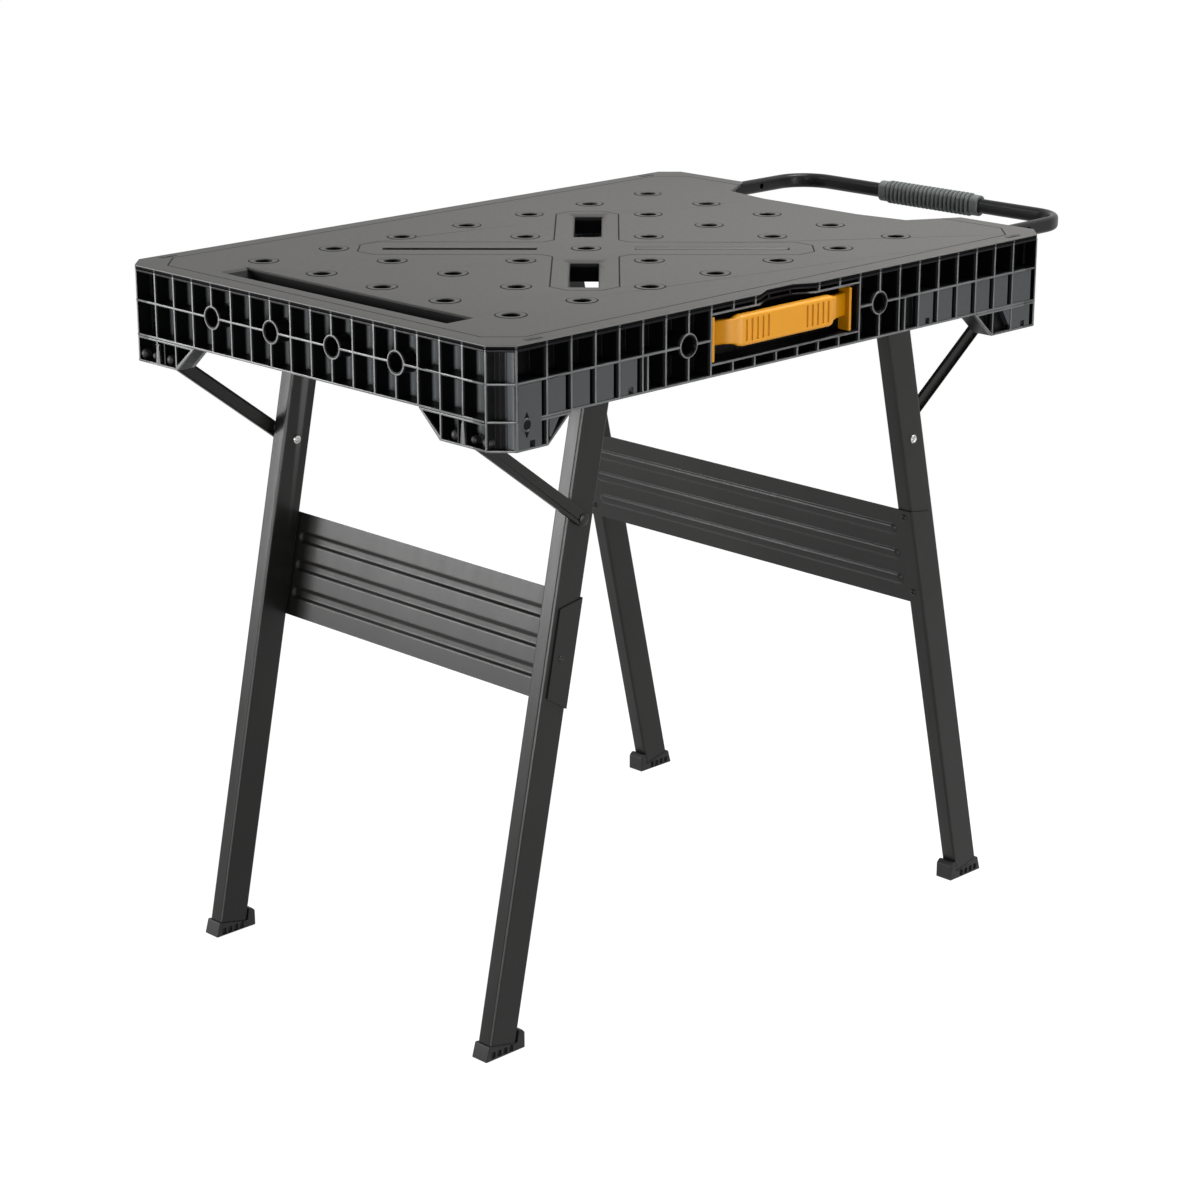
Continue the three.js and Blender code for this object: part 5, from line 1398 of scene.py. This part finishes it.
@dataclass
class LegFrame:
    """One pair of legs with its panel, feet, braces, pins and shoes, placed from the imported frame."""

    end: str
    ranks: tuple[tuple[str, int], ...] = (("front", -1), ("rear", 1))
    leg_half: tuple[float, float] = (0.019, 0.01)
    gap: float = 0.0003
    sheet: float = 0.0015
    panel_drop: float = 0.0831
    panel_height: float = 0.1185
    flange_reach: float = 0.0305
    flange_taper: float = 0.012
    bead_pitch: float = 0.0318
    bead_half: float = 0.007
    bead_slope: float = 0.0034
    bead_rise: float = 0.0026
    bead_inset: float = 0.0205
    fine_end: float = 0.045
    columns: int = 112
    rows: int = 96
    screw_drops: tuple[float, float] = (0.092, 0.188)
    rivet_drop: float = 0.1475

    def __post_init__(self) -> None:
        """Takes the pivot, the knee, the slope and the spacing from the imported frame."""
        self.out = -1 if self.end == "left" else 1
        self.inward = -self.out
        self.pivot = self.middle(f"{self.end}_top_pin_front")
        knee = self.middle(f"{self.end}_brace_rivet_front")
        self.tilt = math.atan2(abs(knee.x - self.pivot.x), self.pivot.z - knee.z)
        self.knee = math.hypot(knee.x - self.pivot.x, self.pivot.z - knee.z)
        self.leg_y = abs(self.middle(f"{self.end}_leg_front").y - DATUM.y)
        self.brace_outside = abs(self.middle(f"{self.end}_brace_front").y - DATUM.y) > self.leg_y
        self.body = f"{self.end}_legs"

    @staticmethod
    def middle(node: str) -> Vector:
        """The middle of a node's box."""
        low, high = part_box(node)
        return (Vector(low) + Vector(high)) / 2

    def on_leg(self, obj: bpy.types.Object) -> bpy.types.Object:
        """Carries a piece from the leg's own axes, with the top pin at the origin, to its place."""
        obj.rotation_euler = (0.0, -self.out * self.tilt, 0.0)
        obj.location = (self.pivot.x, DATUM.y, self.pivot.z)
        Shop.settle(obj)
        return obj

    def build(self) -> None:
        """Builds both legs of the frame and all that hangs on them."""
        glide = f"{self.end}_glide"
        self.build_panel()
        for rank, _ in self.ranks:
            leg = Shop.shell(f"{self.end}_leg_{rank}", Slot.STEEL, self.body, 0.0)
            # Only the left legs get the painted edge highlight.
            if self.end == "left":
                Shop.mark_edges(leg)
            self.build_foot(rank)
            Shop.shell(f"{self.end}_shoe_{rank}", Slot.SHOE, glide, 0.0005)
            Shop.shell(f"{self.end}_top_pin_{rank}", Slot.ZINC, glide, 0.0004)
            brace = f"{self.end}_brace_{rank}"
            Shop.shell(brace, Slot.STEEL, brace, 0.0005)
            Shop.shell(f"{self.end}_brace_rivet_{rank}", Slot.STEEL, brace, 0.0004)
            Shop.shell(f"{self.end}_lug_pin_{rank}", Slot.ZINC, Body.TABLE.value, 0.0004)
            Shop.shell(f"{self.end}_rail_{rank}", Slot.SHOE, Body.TABLE.value, 0.0004)
        self.build_fasteners()

    def build_foot(self, rank: str) -> None:
        """A foot, the same moulding on both legs, so that its slots look to the front."""
        node = f"{self.end}_foot_{rank}"
        foot = Shop.copy_of(f"{self.end}_foot_front", f"{node}_shell")
        foot.location.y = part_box(node)[0][1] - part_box(f"{self.end}_foot_front")[0][1]
        Shop.settle(foot)
        Shop.soften(foot, 0.0009)
        Shop.hand_over(foot, Slot.FOOT, self.body, [node])

    def bead(self, y: float, z: float) -> float:
        """How far the panel is pressed out at a place, measured from the panel's middle."""
        beyond = max(abs(y) - (self.leg_y - self.bead_inset), 0.0)
        share = 0.0
        for row in (-1, 0, 1):
            distance = math.hypot(beyond, z - row * self.bead_pitch)
            part = min(max((self.bead_half - distance) / self.bead_slope, 0.0), 1.0)
            share = max(share, part * part * (3 - 2 * part))
        return self.bead_rise * share

    def build_panel(self) -> None:
        """Presses the cross panel: a sheet with three flat beads and a flange folded over each leg."""
        back = self.leg_half[0] + self.gap
        reach = self.leg_y + self.leg_half[1] + self.gap
        middle = -self.knee - self.panel_drop - self.panel_height / 2
        bpy.ops.object.select_all(action="DESELECT")
        bpy.ops.mesh.primitive_grid_add(x_subdivisions=self.columns, y_subdivisions=self.rows, size=2.0)
        panel = bpy.context.object
        panel.name = f"{self.end}_pressed_panel"
        coarse = 0.4
        for vertex in panel.data.vertices:
            share = abs(vertex.co.x)
            if share < coarse:
                y = share / coarse * (reach - self.fine_end)
            else:
                y = reach - self.fine_end * (1 - share) / (1 - coarse)
            y = math.copysign(y, vertex.co.x)
            z = vertex.co.y * self.panel_height / 2
            vertex.co = (self.inward * (back + self.bead(y, z)), y, middle + z)
        taper = 1 - 2 * self.flange_taper / self.panel_height
        for side in (-1, 1):
            Shop.pick(panel, lambda co: abs(co.y - side * reach) < 1e-5 and self.inward * co.x > back - 1e-5)
            bpy.ops.mesh.extrude_region_move(
                TRANSFORM_OT_translate={"value": (-self.inward * self.flange_reach, 0, 0)}
            )
            bpy.ops.transform.resize(value=(1.0, 1.0, taper), center_override=(0, 0, middle))
            Shop.pick(panel, lambda co: abs(co.y - side * reach) < 1e-5 and self.inward * co.x > back - 1e-5)
            bpy.ops.mesh.bevel(offset=0.0012, segments=4, affect="EDGES")
        Shop.edit(panel)
        bpy.ops.mesh.normals_make_consistent(inside=False)
        Shop.leave()
        heart = min(panel.data.polygons, key=lambda face: abs(face.center.y) + abs(face.center.z - middle))
        if heart.normal.x * self.inward < 0:
            Shop.edit(panel)
            bpy.ops.mesh.flip_normals()
            Shop.leave()
        skin = panel.modifiers.new("sheet", "SOLIDIFY")
        skin.thickness = self.sheet
        skin.offset = 1.0
        skin.use_even_offset = True
        bpy.ops.object.modifier_apply(modifier=skin.name)
        Shop.smooth(panel, 40.0)
        Shop.hand_over(self.on_leg(panel), Slot.STEEL, self.body, [f"{self.end}_panel"])

    def build_fasteners(self) -> None:
        """Rivets at the knees and in the flanges, and the screws that hold the panel."""
        tail = [(0.0, 0.0009), (0.0026, 0.0009), (0.0031, 0.0017), (0.0042, 0.0018), (0.005, 0.001), (0.005, -0.0003)]
        head = [(0.0, 0.0022), (0.0016, 0.002), (0.0029, 0.0012), (0.0036, 0.0), (0.0036, -0.0003)]
        if self.end == "right":
            head = [(0.0, 0.00004), (0.0018, 0.00008), (0.0029, 0.00008), (0.0036, 0.00002), (0.0036, -0.0003)]
        screw = [(0.0, 0.0006), (0.0014, 0.0006), (0.0018, 0.0017), (0.0033, 0.0012), (0.004, 0.0), (0.004, -0.0003)]
        pieces, tails = [], []
        knee_face = self.leg_y + self.leg_half[1] * (-1 if self.brace_outside else 1)
        flange_face = self.leg_y + self.leg_half[1] + self.gap + self.sheet
        panel_face = self.inward * (self.leg_half[0] + self.gap + self.sheet)
        for _, side in self.ranks:
            faces_in = self.brace_outside
            points_back = (side > 0) == faces_in
            tails.append(
                Shop.spun("knee_tail", [*tail, (0.0, -0.0003)], (0, side * knee_face, -self.knee), Axis.Y, 32, points_back)
            )
            spot = (0, side * flange_face, -self.knee - self.rivet_drop)
            pieces.append(Shop.spun("flange_rivet", [*head, (0.0, -0.0003)], spot, Axis.Y, 28, side < 0))
            for drop in self.screw_drops:
                spot = (panel_face, side * self.leg_y, -self.knee - drop)
                pieces.append(Shop.spun("panel_screw", [*screw, (0.0, -0.0003)], spot, Axis.X, 28, self.inward < 0))
        fasteners = self.on_leg(Shop.joined(f"{self.end}_fasteners", pieces))
        Shop.hand_over(fasteners, Slot.STEEL, self.body)
        knees = self.on_leg(Shop.joined(f"{self.end}_knee_tails", tails))
        Shop.hand_over(knees, Slot.ZINC, self.body)


@dataclass
class Studio:
    """Pale floor, soft lamps and the camera."""

    eye: Point = (-2.3464, -2.3632, 1.4193)
    target: Point = (0.0, 0.0, 0.3641)
    focal_px: float = 3026.2
    image_px: float = 1200.0
    centre_px: tuple[float, float] = (-2.7, 2.4)
    sensor: float = 36.0
    lamps: tuple[tuple[str, Point, Point, float, float, float], ...] = (
        ("left_softbox", (-1.75, 1.25, 0.85), (-0.45, 0.0, 0.62), 0.9, 42.0, 180.0),
        ("front_softbox", (0.1, -2.3, 0.72), (0.0, -0.2, 0.74), 0.8, 2.0, 42.0),
        ("top_softbox", (0.75, -0.6, 2.3), (0.4, -0.3, 0.78), 1.2, 13.5, 70.0),
        ("near_fill", (-2.2, -2.0, 0.7), (0.0, 0.0, 0.7), 0.8, 2.3, 40.0),
    )

    def build(self) -> None:
        """Sets up the floor, the world, the lamps and the camera."""
        self.build_floor()
        self.build_world()
        for name, place, aim, size, power, spread in self.lamps:
            self.build_lamp(name, place, aim, size, power, spread)
        self.build_camera()
        bpy.context.scene.view_settings.view_transform = "Standard"

    @staticmethod
    def seen_white(tree: bpy.types.NodeTree) -> bpy.types.NodeSocket:
        """A number that is 1 on camera, glossy and transmission rays."""
        path = tree.nodes.new("ShaderNodeLightPath")
        total = None
        for name in ("Is Camera Ray", "Is Glossy Ray", "Is Transmission Ray"):
            if total is None:
                total = path.outputs[name]
                continue
            node = tree.nodes.new("ShaderNodeMath")
            node.operation = "MAXIMUM"
            tree.links.new(total, node.inputs[0])
            tree.links.new(path.outputs[name], node.inputs[1])
            total = node.outputs[0]
        return total

    def build_floor(self) -> None:
        """A pale floor that fades into the white background, keeps a soft shadow and is clear from below."""
        bpy.ops.object.select_all(action="DESELECT")
        bpy.ops.mesh.primitive_plane_add(size=80.0, location=(0, 0, 0))
        floor = bpy.context.object
        floor.name = "studio_floor"
        sheet = Sheet("floor_white")
        haze = sheet.noise(3.0, 2.0)
        sheet.colour(sheet.paint((0.4, 0.4, 0.4, 1.0), (0.44, 0.44, 0.44, 1.0), haze))
        sheet.value("Roughness", 0.9)
        glow = sheet.tree.nodes.new("ShaderNodeEmission")
        glow.inputs["Strength"].default_value = 1.36
        mix = sheet.tree.nodes.new("ShaderNodeMixShader")
        share = sheet.tree.nodes.new("ShaderNodeMath")
        share.operation = "MULTIPLY"
        share.inputs[1].default_value = 0.72
        sheet.tree.links.new(self.seen_white(sheet.tree), share.inputs[0])
        sheet.tree.links.new(share.outputs[0], mix.inputs["Fac"])
        sheet.tree.links.new(sheet.shader.outputs[0], mix.inputs[1])
        sheet.tree.links.new(glow.outputs[0], mix.inputs[2])
        one_way = sheet.tree.nodes.new("ShaderNodeMixShader")
        sheet.tree.links.new(sheet.tree.nodes.new("ShaderNodeNewGeometry").outputs["Backfacing"], one_way.inputs["Fac"])
        sheet.tree.links.new(mix.outputs[0], one_way.inputs[1])
        sheet.tree.links.new(sheet.tree.nodes.new("ShaderNodeBsdfTransparent").outputs[0], one_way.inputs[2])
        output = next(n for n in sheet.tree.nodes if n.type == "OUTPUT_MATERIAL")
        sheet.tree.links.new(one_way.outputs[0], output.inputs["Surface"])
        floor.data.materials.append(sheet.material)

    def build_world(self) -> None:
        """White where it is seen, and a plain soft fill elsewhere."""
        world = bpy.data.worlds.new("studio_world")
        bpy.context.scene.world = world
        world.use_nodes = True
        tree = world.node_tree
        background = next(n for n in tree.nodes if n.type == "BACKGROUND")
        background.inputs["Color"].default_value = (1.0, 1.0, 1.0, 1.0)
        span = tree.nodes.new("ShaderNodeMapRange")
        span.inputs["To Min"].default_value = 0.05
        span.inputs["To Max"].default_value = 1.0
        tree.links.new(self.seen_white(tree), span.inputs["Value"])
        tree.links.new(span.outputs["Result"], background.inputs["Strength"])

    @staticmethod
    def build_lamp(name: str, place: Point, aim: Point, size: float, power: float, spread: float) -> None:
        """A square softbox that looks at a point.

        Args:
            name: Name of the lamp.
            place: Where it hangs, in metres from the deck's middle on the floor.
            aim: The point that it looks at.
            size: Side of the box.
            power: Power in watts.
            spread: How wide its beam is, in degrees.
        """
        data = bpy.data.lights.new(name, "AREA")
        data.size = size
        data.energy = power
        data.spread = math.radians(spread)
        lamp = bpy.data.objects.new(name, data)
        lamp.location = at(*place)
        lamp.rotation_euler = (Vector(aim) - Vector(place)).to_track_quat("-Z", "Y").to_euler()
        bpy.context.scene.collection.objects.link(lamp)

    def build_camera(self) -> None:
        """A long lens at the height and angle of the picture."""
        data = bpy.data.cameras.new("camera")
        data.sensor_width = self.sensor
        data.lens = self.focal_px / self.image_px * self.sensor
        data.shift_x = -self.centre_px[0] / self.image_px
        data.shift_y = self.centre_px[1] / self.image_px
        camera = bpy.data.objects.new("camera", data)
        camera.location = at(*self.eye)
        camera.rotation_euler = (Vector(self.target) - Vector(self.eye)).to_track_quat("-Z", "Y").to_euler()
        bpy.context.scene.collection.objects.link(camera)
        bpy.context.scene.camera = camera


def main() -> None:
    """Builds the bench piece by piece, then the studio."""
    logging.basicConfig(level=logging.INFO, format="%(name)s %(message)s")
    for part in (DeckTop(), Skirts(), CarryHandle(), PullBar(), LegFrame("left"), LegFrame("right")):
        part.build()
        LOG.info("%s is done", type(part).__name__)
    Studio().build()


if __name__ == "__main__":
    main()
